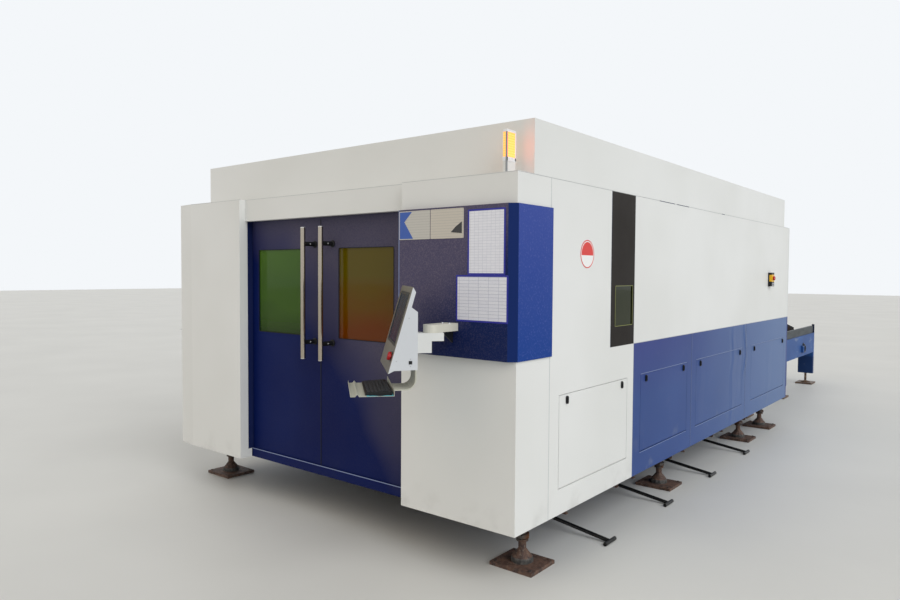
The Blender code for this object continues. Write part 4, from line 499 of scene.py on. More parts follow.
def joined(meshes):
    """One mesh of several."""
    edit = bmesh.new()
    for mesh in meshes:
        edit.from_mesh(mesh)
    result = bpy.data.meshes.new("piece")
    edit.to_mesh(result)
    edit.free()
    return result


def set_at(mesh, *turns):
    """Turn and shift a mesh by the product of matrices and places."""
    whole = Matrix()
    for turn in turns:
        whole = whole @ (turn if isinstance(turn, Matrix) else Matrix.Translation(turn))
    mesh.transform(whole)
    return mesh


def turned(degrees, axis):
    return Matrix.Rotation(math.radians(degrees), 4, axis)


def pointing(mesh, place, axis):
    """Stand a mesh made along Z on a place, pointing along another axis."""
    turns = {"Z": (0, "X"), "-Z": (180, "X"), "X": (90, "Y"), "-Y": (90, "X")}
    return set_at(mesh, place, turned(*turns[axis]))


def slab(low, high, bevel=0.0, segments=2):
    """A block between two corners, its edges rounded."""
    edit = bmesh.new()
    bmesh.ops.create_cube(edit, size=1.0)
    low, high = Vector(low), Vector(high)
    for vertex in edit.verts:
        for axis in range(3):
            vertex.co[axis] = low[axis] if vertex.co[axis] < 0 else high[axis]
    if bevel:
        bmesh.ops.bevel(edit, geom=list(edit.edges), offset=bevel, segments=segments,
                        affect="EDGES", profile=0.5)
    return as_mesh(edit)


def bridge(edit, first, second):
    """Faces between two closed loops of as many points."""
    for index in range(len(first)):
        after = (index + 1) % len(first)
        edit.faces.new((first[index], first[after], second[after], second[index]))


def lathe(profile, sides=24, closed=True):
    """A solid turned about Z from (radius, height) points, or a ring where it isn't closed."""
    edit = bmesh.new()
    angles = [FULL_TURN * side / sides for side in range(sides)]
    rings = [[edit.verts.new((radius * math.cos(angle), radius * math.sin(angle), height))
              for angle in angles] for radius, height in profile]
    for below, above in zip(rings, rings[1:]):
        bridge(edit, below, above)
    if closed:
        edit.faces.new(rings[0][::-1])
        edit.faces.new(rings[-1])
    else:
        bridge(edit, rings[-1], rings[0])
    return as_mesh(edit)


def rounded_outline(width, height, radius):
    """The (x, z) points of a centred rectangle with rounded corners."""
    points = []
    for quarter, (side, end) in enumerate(((1, 1), (-1, 1), (-1, -1), (1, -1))):
        for step in range(5):
            angle = math.radians(90 * quarter + 22.5 * step)
            points.append((side * (width / 2 - radius) + radius * math.cos(angle),
                           end * (height / 2 - radius) + radius * math.sin(angle)))
    return points


def ring_frame(width, height, border, depth, radius):
    """A flat rectangular ring with rounded corners in the XZ plane, centred, facing -Y."""
    edit = bmesh.new()
    outer = rounded_outline(width, height, radius)
    inner = rounded_outline(width - 2 * border, height - 2 * border, max(radius - border, 0.001))
    loops = [[edit.verts.new((x, y, z)) for x, z in points]
             for points, y in ((outer, 0), (outer, -depth), (inner, -depth), (inner, 0))]
    for first, second in zip(loops, loops[1:] + loops[:1]):
        bridge(edit, first, second)
    return as_mesh(edit)


def flat_patch(points, thickness, y=0.0):
    """A thin flat piece with the given (x, z) outline, facing -Y."""
    edit = bmesh.new()
    back = [edit.verts.new((x, y, z)) for x, z in points]
    front = [edit.verts.new((x, y - thickness, z)) for x, z in points]
    edit.faces.new(back)
    edit.faces.new(front)
    bridge(edit, back, front)
    return as_mesh(edit)


def hexagon(across_flats, height, chamfer=0.12):
    """A chamfered hexagon nut or screw head standing on its base."""
    radius = across_flats / math.sqrt(3)
    return lathe(((radius * (1 - chamfer), 0), (radius, height * 0.12), (radius, height * 0.88),
                  (radius * (1 - chamfer), height)), 6)


def torus(ring_radius, wire_radius, steps=28, sides=10):
    """A round ring about Z."""
    edit = bmesh.new()
    angles = [FULL_TURN * side / sides for side in range(sides)]
    section = [Vector((ring_radius + wire_radius * math.cos(angle), 0, wire_radius * math.sin(angle)))
               for angle in angles]
    rings = [[edit.verts.new(Matrix.Rotation(FULL_TURN * step / steps, 4, "Z") @ point)
              for point in section] for step in range(steps)]
    for one, two in zip(rings, rings[1:] + rings[:1]):
        bridge(edit, two, one)
    return as_mesh(edit)


def screw(radius, height):
    """A button-head screw with a hexagon socket."""
    return lathe(((radius, 0), (radius * 0.96, height * 0.5), (radius * 0.75, height * 0.9),
                  (radius * 0.45, height), (radius * 0.42, height * 0.5), (0.0002, height * 0.45)), 16)


# Settings

def metres(name, description, default):
    return FloatProperty(name=name, description=description, default=default, min=0.0, unit="LENGTH")


def colour(name, description, code):
    return FloatVectorProperty(name=name, description=description, default=linear(code),
                               subtype="COLOR", min=0.0, max=1.0, size=3)


class SeamSettings(bpy.types.PropertyGroup):
    width: metres("Seam width", "Width of the shadow joint between two panels", 0.004)
    proud: metres("Seam stand", "How far the joint's sealant stands off the sheet", 0.0006)


class DoorSettings(bpy.types.PropertyGroup):
    gasket: metres("Gasket width", "Width of the rubber round each pane", 0.0035)
    collar: metres("Collar radius", "Radius of the black collars on the handle standoffs", 0.0145)


class LabelSettings(bpy.types.PropertyGroup):
    badge_radius: metres("Badge radius", "Radius of the round disc on the side", 0.08)
    sleeve_border: metres("Sleeve border", "Width of the blue edge of the two sleeves", 0.009)
    sleeve_colour: colour("Sleeve colour", "Colour of the sleeves' blue edge", "2f3298")
    badge_ring: colour("Badge ring", "Colour of the disc's ring", "d8403a")


class PendantSettings(bpy.types.PropertyGroup):
    key_rows: IntProperty(name="Key rows", description="Rows of keys on the keyboard", default=6)
    key_columns: IntProperty(name="Key columns", description="Keys in a row", default=18)
    bezel: metres("Bezel width", "Width of the dark frame round the screen", 0.014)


class StudioSettings(bpy.types.PropertyGroup):
    floor_size: metres("Floor size", "Length of the studio floor's side", 120.0)
    key_strength: FloatProperty(name="Key strength", description="Strength of the soft side light",
                                default=1.55, min=0.0)
    sky_strength: FloatProperty(name="Sky strength", description="Strength of the even light",
                                default=0.58, min=0.0)


SETTINGS = (("seam", SeamSettings), ("door", DoorSettings), ("label", LabelSettings),
            ("pendant", PendantSettings), ("studio", StudioSettings))


def settings(context, name):
    return getattr(context.scene, "machine_" + name)


# Finishes of the CAD nodes

def dress_nodes(material, *names):
    """Put a finish on each node whose name is given, or starts with a name that ends in *."""
    for name in names:
        for node in NODES:
            if node == name or (name[-1] == "*" and node.startswith(name[:-1])):
                for slot in NODES[node].material_slots:
                    slot.material = material


class MACHINE_OT_finishes(bpy.types.Operator):
    """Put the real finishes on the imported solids"""
    bl_idname = "machine.finishes"
    bl_label = "Finishes"

    def execute(self, context):
        self.dress_sheets()
        self.dress_plastic_and_steel()
        self.dress_panes()
        return {"FINISHED"}

    def dress_sheets(self):
        """Coated and enamelled sheets."""
        dress_nodes(powder_coat("white_powder_coat", "dcddda", "e2e3e1", 0.42, 7, 0.05, sheen=0.35),
                    "front_cabinet", "left_cabinet", "door_header", "side_panel_front",
                    "side_panel_upper", "cover_white", "roof_housing", "left_wall", "beacon_base",
                    "pendant_neck", "gantry_beam")
        # The film paints the doors' reflection: purple-grey higher up and towards the right door, dark navy
        # low down
        dress_nodes(powder_coat("textured_door_powder_coat", "020f46", "051852", 0.48, 6, 0.25,
                                grime="262d48", sheen=0.10,
                                film=Film("343452", "585362", 0.8, -0.32, 0.40, 0.8)),
                    "door_left", "door_right", "door_sill")
        dress_nodes(powder_coat("black_trim_powder_coat", "211d1a", "28231f", 0.48, 5, 0.06, sheen=0.10),
                    "strip_panel", "cross_carriage")
        dress_nodes(powder_coat("putty_powder_coat", "b0b1a4", "bbbbae", 0.48, 4, 0.04, grime_share=0.0),
                    "keyboard_tray")
        dress_nodes(make_side_enamel(), "side_panel_low_*", "cover_front", "cover_middle", "cover_rear")
        dress_nodes(make_rear_paint(), "rear_wall")
        dress_nodes(make_case_paint(), "pendant_case")
        dress_nodes(make_bracket_paint(), "pendant_bracket")
        dress_nodes(make_wrap_paint(), "blue_wrap")
        dress_nodes(make_frame_paint(), "main_frame")
        dress_nodes(make_table_paint(), "table_frame")

    def dress_plastic_and_steel(self):
        dress_nodes(moulded_plastic("moulded_black_abs", "17181a", 0.42), "keyboard", "stop_box", "latch_*")
        dress_nodes(moulded_plastic("glossy_red_abs", "b3191c", 0.25), "stop_button", "pendant_stop")
        dress_nodes(moulded_plastic("glossy_green_abs", "1f9a4d", 0.25), "pendant_start")
        dress_nodes(brushed_steel("polished_stainless_tube", "aca294", 0.15, "Z"), "handle_*",
                    "cutting_head")
        dress_nodes(scaled_steel("mill_scaled_pallet_steel", "3e4144", "5f4032", 0.50, 0.62, "5e6062"),
                    "pallet_*")
        dress_nodes(scaled_steel("dark_drawer_steel", "1b1b1b", "352c26", 0.36, 0.45, "4a4a48"),
                    "pull_bar_*", "slag_drawer_*")

    def dress_panes(self):
        """Acrylic panes, from the colours of each downwards, and what is lit."""
        # Each pane's colours, listed from the top down, hold painted reflection and painted shade
        dress_nodes(laser_pane("green_acrylic", ("4c7414", "426812", "2a440e"),
                               (1.20, 1.36, 1.50, 1.74), 0.35, 1.4), "window_left")
        dress_nodes(laser_pane("amber_acrylic", ("665800", "6e4c00", "743800"),
                               (1.24, 1.42, 1.46, 1.60), 0.30, 2.2), "window_right")
        dress_nodes(laser_pane("smoked_acrylic", ("262e10", "2c331a", "2e1d0c"),
                               (1.16, 1.24, 1.30, 1.42), 0.35, 0.8), "strip_window")
        dress_nodes(make_lens(), "beacon_lens")
        dress_nodes(make_screen(), "pendant_screen")


# Fine parts

def side_strip(y0, y1, z0, z1, stand):
    """A thin strip on the right side."""
    return slab((-stand * 0.5, y0, z0), (stand, y1, z1))


class MACHINE_OT_seams(bpy.types.Operator):
    """Draw the sealed joints between the panels"""
    bl_idname = "machine.seams"
    bl_label = "Seams"

    def execute(self, context):
        values = settings(context, "seam")
        half, stand = values.width / 2, values.proud
        cabinet_low, cabinet_high = node_box("front_cabinet")
        wrap_low, wrap_high = node_box("blue_wrap")
        upper_low, upper_high = node_box("side_panel_upper")
        low, top, front_end = cabinet_low.z, cabinet_high.z, cabinet_high.y
        middle, rear = upper_low.z, upper_high.y
        white_end, first, second = (node_box("side_panel_" + name)[1].y
                                    for name in ("front", "low_front", "low_middle"))
        sealant = moulded_plastic("pale_joint_sealant", "bcbfc0", 0.7)
        shadow = moulded_plastic("dark_open_joint", "2a3350", 0.7)
        # The pale blue edge strips are painted highlights on the side's joints and covers, and wear on the
        # front edges
        worn = powder_coat("worn_and_highlit_blue_sheet_edge", "7a89b2", "8796bb", 0.4, 5, 0.05)
        finished("side_joints", joined((
            side_strip(front_end - half, front_end + half, low, wrap_low.z, stand),
            side_strip(front_end - half, front_end + half, wrap_high.z, top, stand),
            side_strip(white_end - half, white_end + half, low, top, stand),
            side_strip(0, rear, top - half * 0.5, top + half * 0.5, stand),
            side_strip(white_end, rear, middle - half, middle + half, stand))),
            sealant, "machine")
        gaps, edges = [], []
        for y in (first, second):
            gaps.append(side_strip(y - half, y + half, low, middle - half, stand))
            # A painted highlight on the sheet's edge beside each open joint
            edges.append(side_strip(y + half, y + half * 2.6, low, middle - half, stand * 0.7))
        for y0, y1 in ((1.75, 2.02), (2.06, 2.30), (3.05, 3.12)):
            gaps.append(side_strip(y0, y1, top - half, top + half, stand * 1.5))
        strip_low, strip_high = node_box("strip_panel")
        gaps.append(side_strip(strip_low.y - half, strip_low.y + half, strip_low.z, strip_high.z, stand))
        finished("side_open_joints", joined(gaps), shadow, "machine")
        # Painted highlights along each cover's lower and upper edge
        for name in ("cover_front", "cover_middle", "cover_rear"):
            cover_low, cover_high = node_box(name)
            for z in (cover_low.z - 0.005, cover_high.z + 0.002):
                edges.append(side_strip(cover_low.y, cover_high.y, z, z + 0.003, stand * 0.7))
        finished("side_sheet_edges", joined(edges), worn, "machine")
        left, ridge = node_box("left_wall")[0].x, node_box("roof_housing")
        far = [slab((left - stand, y - half, low), (left + stand * 0.5, y + half, top))
               for y in (front_end, white_end, first, second)]
        far.append(slab((left - stand, 0.0, middle - half), (left + stand * 0.5, rear, middle + half)))
        far += [slab((ridge[0].x + 0.16, y - half, ridge[1].z - stand),
                     (ridge[1].x - 0.16, y + half, ridge[1].z + stand)) for y in (first, second)]
        finished("wall_and_roof_joints", joined(far), sealant, "machine")
        self.add_front_joints(half, stand, sealant, worn)
        return {"FINISHED"}

    def add_front_joints(self, half, stand, sealant, worn):
        """Joints over the front, the worn edges of wrap and sill, and the door frame's navy jamb."""
        cabinet_left, top = node_box("front_cabinet")[0].x, node_box("front_cabinet")[1].z
        left_low, left_high = node_box("left_cabinet")
        header_low, door_low = node_box("door_header")[0], node_box("door_left")[0]
        wrap_low, wrap_high = node_box("blue_wrap")
        sill_low, sill_high = node_box("door_sill")
        front = [slab((x0, y - stand, top - half * 0.5), (x1, y + stand * 0.5, top + half * 0.5))
                 for x0, x1, y in ((cabinet_left, 0, 0), (left_low.x + 0.175, left_high.x, 0),
                                   (left_high.x, cabinet_left, header_low.y))]
        finished("front_joints", joined(front), sealant, "machine")
        edges = [slab((wrap_low.x - stand, wrap_low.y - stand, wrap_low.z),
                      (wrap_low.x + 0.004, wrap_low.y + stand, wrap_high.z)),
                 slab((sill_low.x, sill_low.y - stand, sill_high.z - 0.004),
                      (sill_high.x, sill_low.y + stand, sill_high.z + stand))]
        finished("front_sheet_edges", joined(edges), worn, "machine")
        jamb = slab((left_high.x - stand, door_low.y - 0.045, sill_high.z),
                    (left_high.x + 0.0012, door_low.y - 0.003, header_low.z))
        navy = powder_coat("navy_jamb_powder_coat", "141d45", "1a2450", 0.45, 6, 0.1, sheen=0.15)
        finished("door_jamb", jamb, navy, "machine")


class MACHINE_OT_door_parts(bpy.types.Operator):
    """Fit gaskets, collars, end caps and the meeting seal of the doors"""
    bl_idname = "machine.door_parts"
    bl_label = "Door parts"

    def execute(self, context):
        values = settings(context, "door")
        rubber = moulded_plastic("black_epdm_rubber", "101113", 0.6)
        steel = brushed_steel("turned_stainless_caps", "c4c3c0", 0.22, "X")
        for side in ("left", "right"):
            front = node_box("door_" + side)[0].y
            self.add_gasket(side, front, values, rubber)
            self.add_handle_parts(side, front, values, rubber, steel)
        low, high = node_box("door_right")
        seal = slab((low.x + 0.0002, low.y - 0.002, low.z + 0.01), (low.x + 0.007, low.y, high.z - 0.05),
                    0.0008)
        finished("meeting_seal", seal, rubber, "door_right")
        return {"FINISHED"}

    def add_gasket(self, side, front, values, rubber):
        low, high = node_box("window_" + side)
        gasket = ring_frame(high.x - low.x + values.gasket, high.z - low.z + values.gasket,
                            values.gasket, 0.0025, 0.012)
        set_at(gasket, ((low.x + high.x) / 2, front, (low.z + high.z) / 2))
        finished("pane_gasket_" + side, gasket, rubber, "door_" + side)

    def add_handle_parts(self, side, front, values, rubber, steel):
        """A collar with its grub screw on each standoff, and a cap on each end of the tube."""
        low, high = node_box("handle_" + side)
        x, y, radius = (low.x + high.x) / 2, low.y + (high.x - low.x) / 2, values.collar
        collars, shiny = [], []
        for z, axis in ((low.z, "-Z"), (high.z, "Z")):
            shiny.append(pointing(lathe(((0.0162, -0.002), (0.0162, 0.002), (0.0145, 0.004),
                                         (0.0002, 0.0048))), (x, y, z), axis))
        for z in (low.z + 0.102, high.z - 0.102):
            profile = ((radius * 1.5, 0), (radius * 1.5, 0.006), (radius, 0.010),
                       (radius, front - y - 0.014), (radius * 0.85, front - y - 0.014))
            collars.append(pointing(lathe(profile), (x, front, z), "-Y"))
            grub_place = (x + radius - 0.001, (y + front) / 2, z)
            shiny.append(pointing(screw(0.0055, 0.003), grub_place, "X"))
        body = "door_" + side
        finished("handle_collars_" + side, joined(collars), rubber, body, 35)
        finished("handle_caps_" + side, joined(shiny), steel, body, 35)


class MACHINE_OT_labels(bpy.types.Operator):
    """Hang the ruled forms, the bare label plates and the plain round disc"""
    bl_idname = "machine.labels"
    bl_label = "Labels"

    def execute(self, context):
        values = settings(context, "label")
        wall = node_box("blue_wrap")[0].y
        self.add_forms(wall, values)
        self.add_label_plates(wall)
        self.add_disc(values)
        return {"FINISHED"}

    def add_forms(self, wall, values):
        """A standing and a lying sheet in sleeves with a blue edge."""
        grey_form = make_paper("ruled_form_in_sleeve", "e6e7ee", "e1e2ea", "c3c6d2", 26, 14, 0.2)
        blue_form = make_paper("ruled_list_in_sleeve", "e2e3ea", "dcdde6", "a0a5b8", 62, 17, 0.35)
        edge = moulded_plastic("blue_pvc_sleeve_edge", "2f3298", 0.3)
        feed(opened(edge)[0], Base_Color=(*values.sleeve_colour, 1))
        for name, x0, x1, z0, z1, paper in (
                ("portrait_form", -0.273, -0.050, 1.597, 1.920, grey_form),
                ("landscape_form", -0.347, -0.031, 1.357, 1.587, blue_form)):
            width, height, border = x1 - x0, z1 - z0, values.sleeve_border
            centre = Vector(((x0 + x1) / 2, wall, (z0 + z1) / 2))
            sheet = flat_patch(rounded_outline(width, height, 0.003), 0.0012)
            finished(name, set_at(sheet, centre, (0, -0.0005, 0)), paper, "machine")
            rim = ring_frame(width + border, height + border, border, 0.0022, 0.004)
            finished(name + "_edge", set_at(rim, centre), edge, "machine")

    def add_disc(self, values):
        """A round disc, red above and white below, inside a red ring."""
        radius, place = values.badge_radius, Vector((0, 0.722, 1.714))
        disc = lathe(((radius * 0.97, 0), (radius * 0.97, 0.0012), (0.0002, 0.0012)), 48)
        finished("round_disc", pointing(disc, place, "X"), moulded_plastic("white_vinyl", "eeeeec", 0.4),
                 "machine")
        ring = lathe(((radius, 0), (radius, 0.0015), (radius * 0.93, 0.0015), (radius * 0.93, 0)), 48,
                     False)
        half = [(radius * 0.86 * math.cos(angle), radius * 0.86 * math.sin(angle))
                for angle in map(math.radians, range(-6, 187, 8))]
        patch = set_at(flat_patch(half, 0.0004), place + Vector((0.0012, 0, 0)), turned(90, "Z"))
        vinyl = moulded_plastic("red_vinyl", "d8403a", 0.4)
        feed(opened(vinyl)[0], Base_Color=(*values.badge_ring, 1))
        finished("round_disc_print", joined((pointing(ring, place, "X"), patch)), vinyl, "machine")

    def add_label_plates(self, wall):
        """Two printed tin plates with plain coloured fields."""
        for side, x0, code, field_code, shares in (
                ("left", -0.755, "bdbab2", "2f56a8", LEFT_FIELD_SHARES),
                ("right", -0.528, "c2bbae", "2a2a2b", RIGHT_FIELD_SHARES)):
            name = "label_plate_" + side
            tin = make_paper(name + "_print", code, code, "a5a39c", 400, 14, 0.2)
            plate = flat_patch(rounded_outline(LABEL_WIDTH, LABEL_HEIGHT, 0.004), 0.0015)
            middle = (x0 + LABEL_WIDTH / 2, wall - 0.0003, LABEL_LOW + LABEL_HEIGHT / 2)
            finished(name, set_at(plate, middle), tin, "machine")
            ink = powder_coat(name + "_ink", field_code, field_code, 0.35, 9, 0.02, grime_share=0.0)
            points = [(x0 + LABEL_WIDTH * across, LABEL_LOW + LABEL_HEIGHT * up) for across, up in shares]
            finished(name + "_field", flat_patch(points, 0.0005, wall - 0.0017), ink, "machine")


class MACHINE_OT_side_parts(bpy.types.Operator):
    """Add latch wings, the strip pane's edge and the parts of stop box, light, feet and table"""
    bl_idname = "machine.side_parts"
    bl_label = "Side parts"

    def execute(self, context):
        self.add_latch_wings()
        self.add_strip_pane_edge()
        self.add_stop_box_parts()
        self.add_beacon_parts()
        self.add_feet_parts()
        self.add_table_ring()
        return {"FINISHED"}

    def add_latch_wings(self):
        black = moulded_plastic("moulded_black_nylon", "1b1c1e", 0.5)
        for name in sorted(node for node in NODES if node.startswith("latch_")):
            low, high = node_box(name)
            middle = (low + high) / 2
            wing = slab((high.x - 0.0005, middle.y - 0.0025, middle.z - 0.016),
                        (high.x + 0.0045, middle.y + 0.0025, middle.z + 0.016), 0.0018)
            finished(name + "_wing", wing, black, name, 40)

    def add_strip_pane_edge(self):
        """The polished edge of the smoked pane, which catches the light."""
        low, high = node_box("strip_window")
        rim = ring_frame(high.y - low.y + 0.004, high.z - low.z + 0.004, 0.0035, 0.0012, 0.006)
        set_at(rim, (0, (low.y + high.y) / 2, (low.z + high.z) / 2), turned(90, "Z"))
        finished("strip_pane_edge", rim, moulded_plastic("polished_acrylic_edge", "7d8248", 0.2),
                 "machine")

    def add_stop_box_parts(self):
        """The yellow plate round the stop button and two bare plates under it."""
        front = node_box("stop_box")[1].x
        yellow = moulded_plastic("yellow_abs", "f0b820", 0.35)
        pale = brushed_steel("satin_aluminium_plates", "b4b7ba", 0.4, "Y")
        button = sum(node_box("stop_button"), Vector()) / 2
        upright = turned(90, "Z")
        plate = ring_frame(0.0916, 0.070, 0.013, 0.0225, 0.004)
        finished("stop_plate", set_at(plate, (front - 0.022, button.y, button.z), upright), yellow,
                 "machine")
        collar = lathe(((0.032, 0), (0.032, 0.0008), (0.0255, 0.0012), (0.0245, 0.0026),
                        (0.0212, 0.0026), (0.0212, 0)), 32, False)
        finished("stop_collar", pointing(collar, (front, button.y, button.z), "X"), yellow, "machine",
                 35)
        plates = [set_at(flat_patch(rounded_outline(0.060, 0.013, 0.002), 0.0012),
                         (front, button.y, button.z - drop), upright) for drop in (0.052, 0.070)]
        finished("stop_bare_plates", joined(plates), pale, "machine")

    def add_beacon_parts(self):
        """The signal light's white cap and edge strips and its grey front edge."""
        low, high = node_box("beacon_lens")
        base_low = node_box("beacon_base")[0]
        outer, near, far, rim = high.x + 0.0012, low.y - 0.001, high.y + 0.001, high.z - 0.010
        trim = (slab((low.x - 0.001, near, rim), (outer, far, high.z + 0.003), 0.001),
                slab((high.x - 0.006, high.y - 0.008, low.z), (outer, far, rim), 0.0006),
                slab((low.x - 0.001, near, low.z - 0.004), (outer, far, low.z + 0.017), 0.0006))
        finished("beacon_trim", joined(trim), moulded_plastic("white_polycarbonate", "e6e8ea", 0.3),
                 "machine")
        edge = slab((high.x - 0.007, low.y - 0.0015, base_low.z + 0.002), (outer, low.y + 0.007, rim),
                    0.0006)
        finished("beacon_front_edge", edge, moulded_plastic("grey_extruded_edge", "8f9497", 0.4),
                 "machine")

    def add_feet_parts(self):
        """Hexagon lock nuts on the levelling screws and bolts through the floor plates."""
        pieces = []
        for x in (-FOOT_INSET, node_box("left_wall")[0].x + FOOT_INSET):
            for y in FOOT_PLACES:
                pieces.append(set_at(hexagon(0.074, 0.026), (x, y, 0.150)))
                pieces.append(set_at(lathe(((0.034, 0), (0.034, 0.012), (0.028, 0.014)), 20),
                                     (x, y, 0.134)))
                for side, end in ((-1, -1), (1, -1), (-1, 1), (1, 1)):
                    place = (x + FOOT_BOLTS[0] * side, y + FOOT_BOLTS[1] * end, FOOT_PLATE_TOP)
                    pieces.append(set_at(hexagon(0.016, 0.007), place))
        rusty = scaled_steel("rusty_nuts_and_bolts", "4a4441", "6a4630", 0.55, 0.6)
        finished("feet_nuts_and_bolts", joined(pieces), rusty, "machine", 30)

    def add_table_ring(self):
        """The towing ring on the exchange table's side beam."""
        steel = scaled_steel("dark_forged_ring", "1c2027", "3a3531", 0.3, 0.5, "4c5058")
        x, y, z = node_box("pallet_upper")[1].x + 0.2105, 7.86, 0.575
        ring = pointing(torus(0.050, 0.010), (x + 0.016, y, z), "X")
        lug = pointing(lathe(((0.030, 0), (0.030, 0.006), (0.012, 0.008), (0.012, 0.024)), 20),
                       (x - 0.0005, y, z + 0.050), "X")
        finished("table_ring", joined((ring, lug)), steel, "machine", 40)
        cheek = slab((x - 0.0005, y - 0.110, z - 0.050), (x + 0.030, y - 0.060, z + 0.045), 0.004)
        finished("table_ring_cheek", cheek, make_table_paint(), "machine")


class MACHINE_OT_pendant_parts(bpy.types.Operator):
    """Fit the bezel, keys, mat, button collars, sockets and screws of the pendant"""
    bl_idname = "machine.pendant_parts"
    bl_label = "Pendant parts"

    def execute(self, context):
        values = settings(context, "pendant")
        pivot, local, face = pendant_places()
        black = moulded_plastic("moulded_black_pendant_abs", "16171a", 0.38)
        cap = moulded_plastic("moulded_key_caps", "24262a", 0.5)
        self.add_face_parts(values.bezel, face, black)
        self.add_keys(values, local, cap)
        self.add_mat(local, cap)
        socket = slab((CASE_SIDE - 0.0005, CASE_BACK - 0.042, 1.175),
                      (CASE_SIDE + 0.0025, CASE_BACK - 0.026, 1.191), 0.001)
        finished("side_socket", set_at(socket, local), black, "pendant", 40)
        self.add_screws(pivot, local)
        return {"FINISHED"}

    def add_face_parts(self, border, face, black):
        """The bezel round the screen and a collar round each button."""
        width, height = SCREEN_SIZE
        bezel = ring_frame(width + border, height + border, border, 0.002, 0.008)
        finished("screen_bezel", set_at(bezel, face, (0, SCREEN_RISE, 0), turned(-90, "X")),
                 moulded_plastic("dark_grey_bezel_abs", "3b3b39", 0.42), "pendant")
        collars = [set_at(lathe(((inner + 0.0045, 0), (inner + 0.0045, 0.0012), (inner + 0.003, 0.002),
                                 (inner, 0.002), (inner, 0)), 28, False), face, (side, BUTTON_RISE, 0))
                   for side, inner in ((0.190, 0.0212), (0.120, 0.0142))]
        finished("button_collars", joined(collars), black, "pendant", 35)

    def add_keys(self, values, local, cap):
        """Rows of keys on the sloping keyboard, with a long bar in the nearest row."""
        width, depth, gap = 0.352, 0.108, 0.0012
        pitch_x, pitch_y = width / values.key_columns, depth / values.key_rows
        keys = []
        for row in range(values.key_rows):
            column = 0
            while column < values.key_columns:
                span = 5 if (row == 0 and column == 4) else 1
                x0, y0 = pitch_x * column - width / 2, pitch_y * row - depth / 2
                key = slab((x0 + gap, y0 + gap, -0.001),
                           (x0 + pitch_x * span - gap, y0 + pitch_y - gap, 0.0045), gap, 1)
                keys.append(set_at(key, local, KEYBOARD_MIDDLE, Matrix.Rotation(KEYBOARD_RISE, 4, "X")))
                column += span
        finished("keyboard_keys", joined(keys), cap, "pendant", 40)

    def add_mat(self, local, cap):
        """The blue mat on the tray and the dark wave printed along its right edge."""
        mat = slab((-0.168, CASE_BACK - 0.236, TRAY_TOP + 0.0001),
                   (0.248, CASE_BACK - 0.1105, TRAY_TOP + 0.0008))
        finished("tray_mat", set_at(mat, local), moulded_plastic("cyan_rubber_mat", "4fb3c4", 0.6),
                 "pendant")
        wave = [(0.242 - 0.008 * math.sin(step * 0.9), CASE_BACK - 0.118 - 0.0105 * step)
                for step in range(11)]
        printed = flat_patch(wave + [(0.205, wave[-1][1]), (0.205, wave[0][1])], 0.0004)
        finished("tray_mat_print", set_at(printed, local, (0, 0, TRAY_TOP + 0.0008), turned(-90, "X")),
                 cap, "pendant")

    def add_screws(self, pivot, local):
        """Screws in the case's back and right side, and the two that hold the swivel."""
        steel = brushed_steel("zinc_plated_screws", "aeb0b2", 0.35, "X")
        heads = [set_at(screw(0.005, 0.0025), local, (x, CASE_BACK, z), turned(-90, "X"))
                 for x, z in ((-0.22, 1.18), (0.22, 1.18), (-0.22, 1.39), (0.22, 1.39))]
        heads += [set_at(screw(0.0028, 0.0014), local, (CASE_SIDE - 0.0002, CASE_BACK - depth, z),
                         turned(90, "Y"))
                  for depth, z in ((0.034, 1.200), (0.034, 1.166), (0.041, 1.390), (0.100, 1.190))]
        finished("case_screws", joined(heads), steel, "pendant", 35)
        top = node_box("pendant_bracket")[1].z
        heads = [set_at(screw(0.008, 0.005), (pivot.x + x, pivot.y + 0.12, top)) for x in (-0.023, 0.023)]
        finished("bracket_screws", joined(heads), steel, "machine", 35)


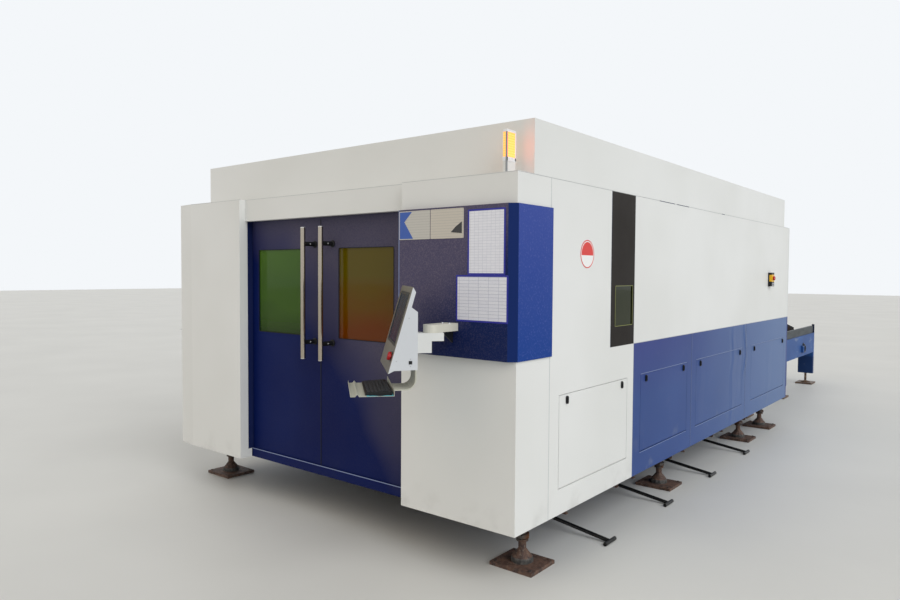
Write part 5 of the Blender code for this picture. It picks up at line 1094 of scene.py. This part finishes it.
class MACHINE_OT_studio(bpy.types.Operator):
    """Lay the floor, set the lights and place the camera"""
    bl_idname = "machine.studio"
    bl_label = "Studio"

    def execute(self, context):
        values = settings(context, "studio")
        self.add_floor(context, values.floor_size / 2)
        self.set_world(context, values)
        self.add_lights(context, values)
        self.add_camera(context)
        context.scene.view_settings.view_transform = "Standard"
        return {"FINISHED"}

    def add_floor(self, context, half):
        edit = bmesh.new()
        edit.faces.new([edit.verts.new((x, y, -0.0005))
                        for x, y in ((-half, -half), (half, -half), (half, half), (-half, half))])
        mesh = as_mesh(edit)
        mesh.materials.append(make_floor_material())
        floor = bpy.data.objects.new("studio_floor", mesh)
        context.scene.collection.objects.link(floor)

    def set_world(self, context, values):
        """Even pale light on the object, and white where the background itself is seen."""
        world = bpy.data.worlds.new("studio_sky")
        context.scene.world = world
        world.use_nodes = True
        add = functools.partial(add_node, world.node_tree)
        seen = add("Math.MAXIMUM", add("LightPath", output="Is Camera Ray"),
                   add("LightPath", output="Is Transmission Ray"))
        seen = add("Math.MAXIMUM", seen, add("LightPath", output="Is Glossy Ray"))
        feed(world.node_tree.nodes["Background"], Color="f4f7fa",
             Strength=add("MapRange", seen, 0.0, 1.0, values.sky_strength, 1.0))

    def add_lights(self, context, values):
        for name, direction, strength, spread, tint in (
                ("key_light", (1.0, -0.22, 0.75), values.key_strength, 50, "ffffff"),
                ("fill_light", (-0.5, -1.0, 0.9), values.key_strength * 0.30, 60, "ffe0b4")):
            data = bpy.data.lights.new(name, "SUN")
            data.energy = strength
            data.color = linear(tint)
            data.angle = math.radians(spread)
            light = bpy.data.objects.new(name, data)
            light.rotation_euler = Vector(direction).to_track_quat("Z", "Y").to_euler()
            light.location = Vector(direction) * 8
            context.scene.collection.objects.link(light)

    def add_camera(self, context):
        """The camera as it stood: place, heading, tilt and roll solved from the edges."""
        yaw, pitch, roll = (math.radians(value) for value in (38.9214, 2.1770, 0.3357))
        ahead = Vector((-math.sin(yaw) * math.cos(pitch), math.cos(yaw) * math.cos(pitch), -math.sin(pitch)))
        right = Vector((math.cos(yaw), math.sin(yaw), 0))
        up = right.cross(ahead)
        across = right * math.cos(roll) + up * math.sin(roll)
        rise = up * math.cos(roll) - right * math.sin(roll)
        data = bpy.data.cameras.new("photo_camera")
        data.sensor_width = 36.0
        data.lens = 27.987
        data.clip_end = 200.0
        camera = bpy.data.objects.new("photo_camera", data)
        turn = Matrix((across, rise, -ahead)).transposed().to_4x4()
        camera.matrix_world = Matrix.Translation(CORNER + Vector((1.9034, -2.8790, 1.5993))) @ turn
        context.scene.collection.objects.link(camera)
        context.scene.camera = camera


class MACHINE_PT_panel(bpy.types.Panel):
    """Lists the steps that dress the machine"""
    bl_idname = "MACHINE_PT_panel"
    bl_label = "Laser cutting machine"
    bl_space_type = "VIEW_3D"
    bl_region_type = "UI"
    bl_category = "Machine"

    def draw(self, context):
        for name, group in SETTINGS:
            box = self.layout.box()
            for key in group.__annotations__:
                box.prop(settings(context, name), key)
        for operator in OPERATORS:
            self.layout.operator(operator.bl_idname)


OPERATORS = (MACHINE_OT_finishes, MACHINE_OT_seams, MACHINE_OT_door_parts, MACHINE_OT_labels,
             MACHINE_OT_side_parts, MACHINE_OT_pendant_parts, MACHINE_OT_studio)


def register():
    for name, group in SETTINGS:
        bpy.utils.register_class(group)
        setattr(bpy.types.Scene, "machine_" + name, PointerProperty(type=group))
    for cls in (*OPERATORS, MACHINE_PT_panel):
        bpy.utils.register_class(cls)


def unregister():
    for cls in (*OPERATORS, MACHINE_PT_panel):
        bpy.utils.unregister_class(cls)
    for name, group in SETTINGS:
        delattr(bpy.types.Scene, "machine_" + name)
        bpy.utils.unregister_class(group)


def main():
    register()
    for operator in OPERATORS:
        getattr(bpy.ops.machine, operator.bl_idname.split(".")[1])()


if __name__ == "__main__":
    main()
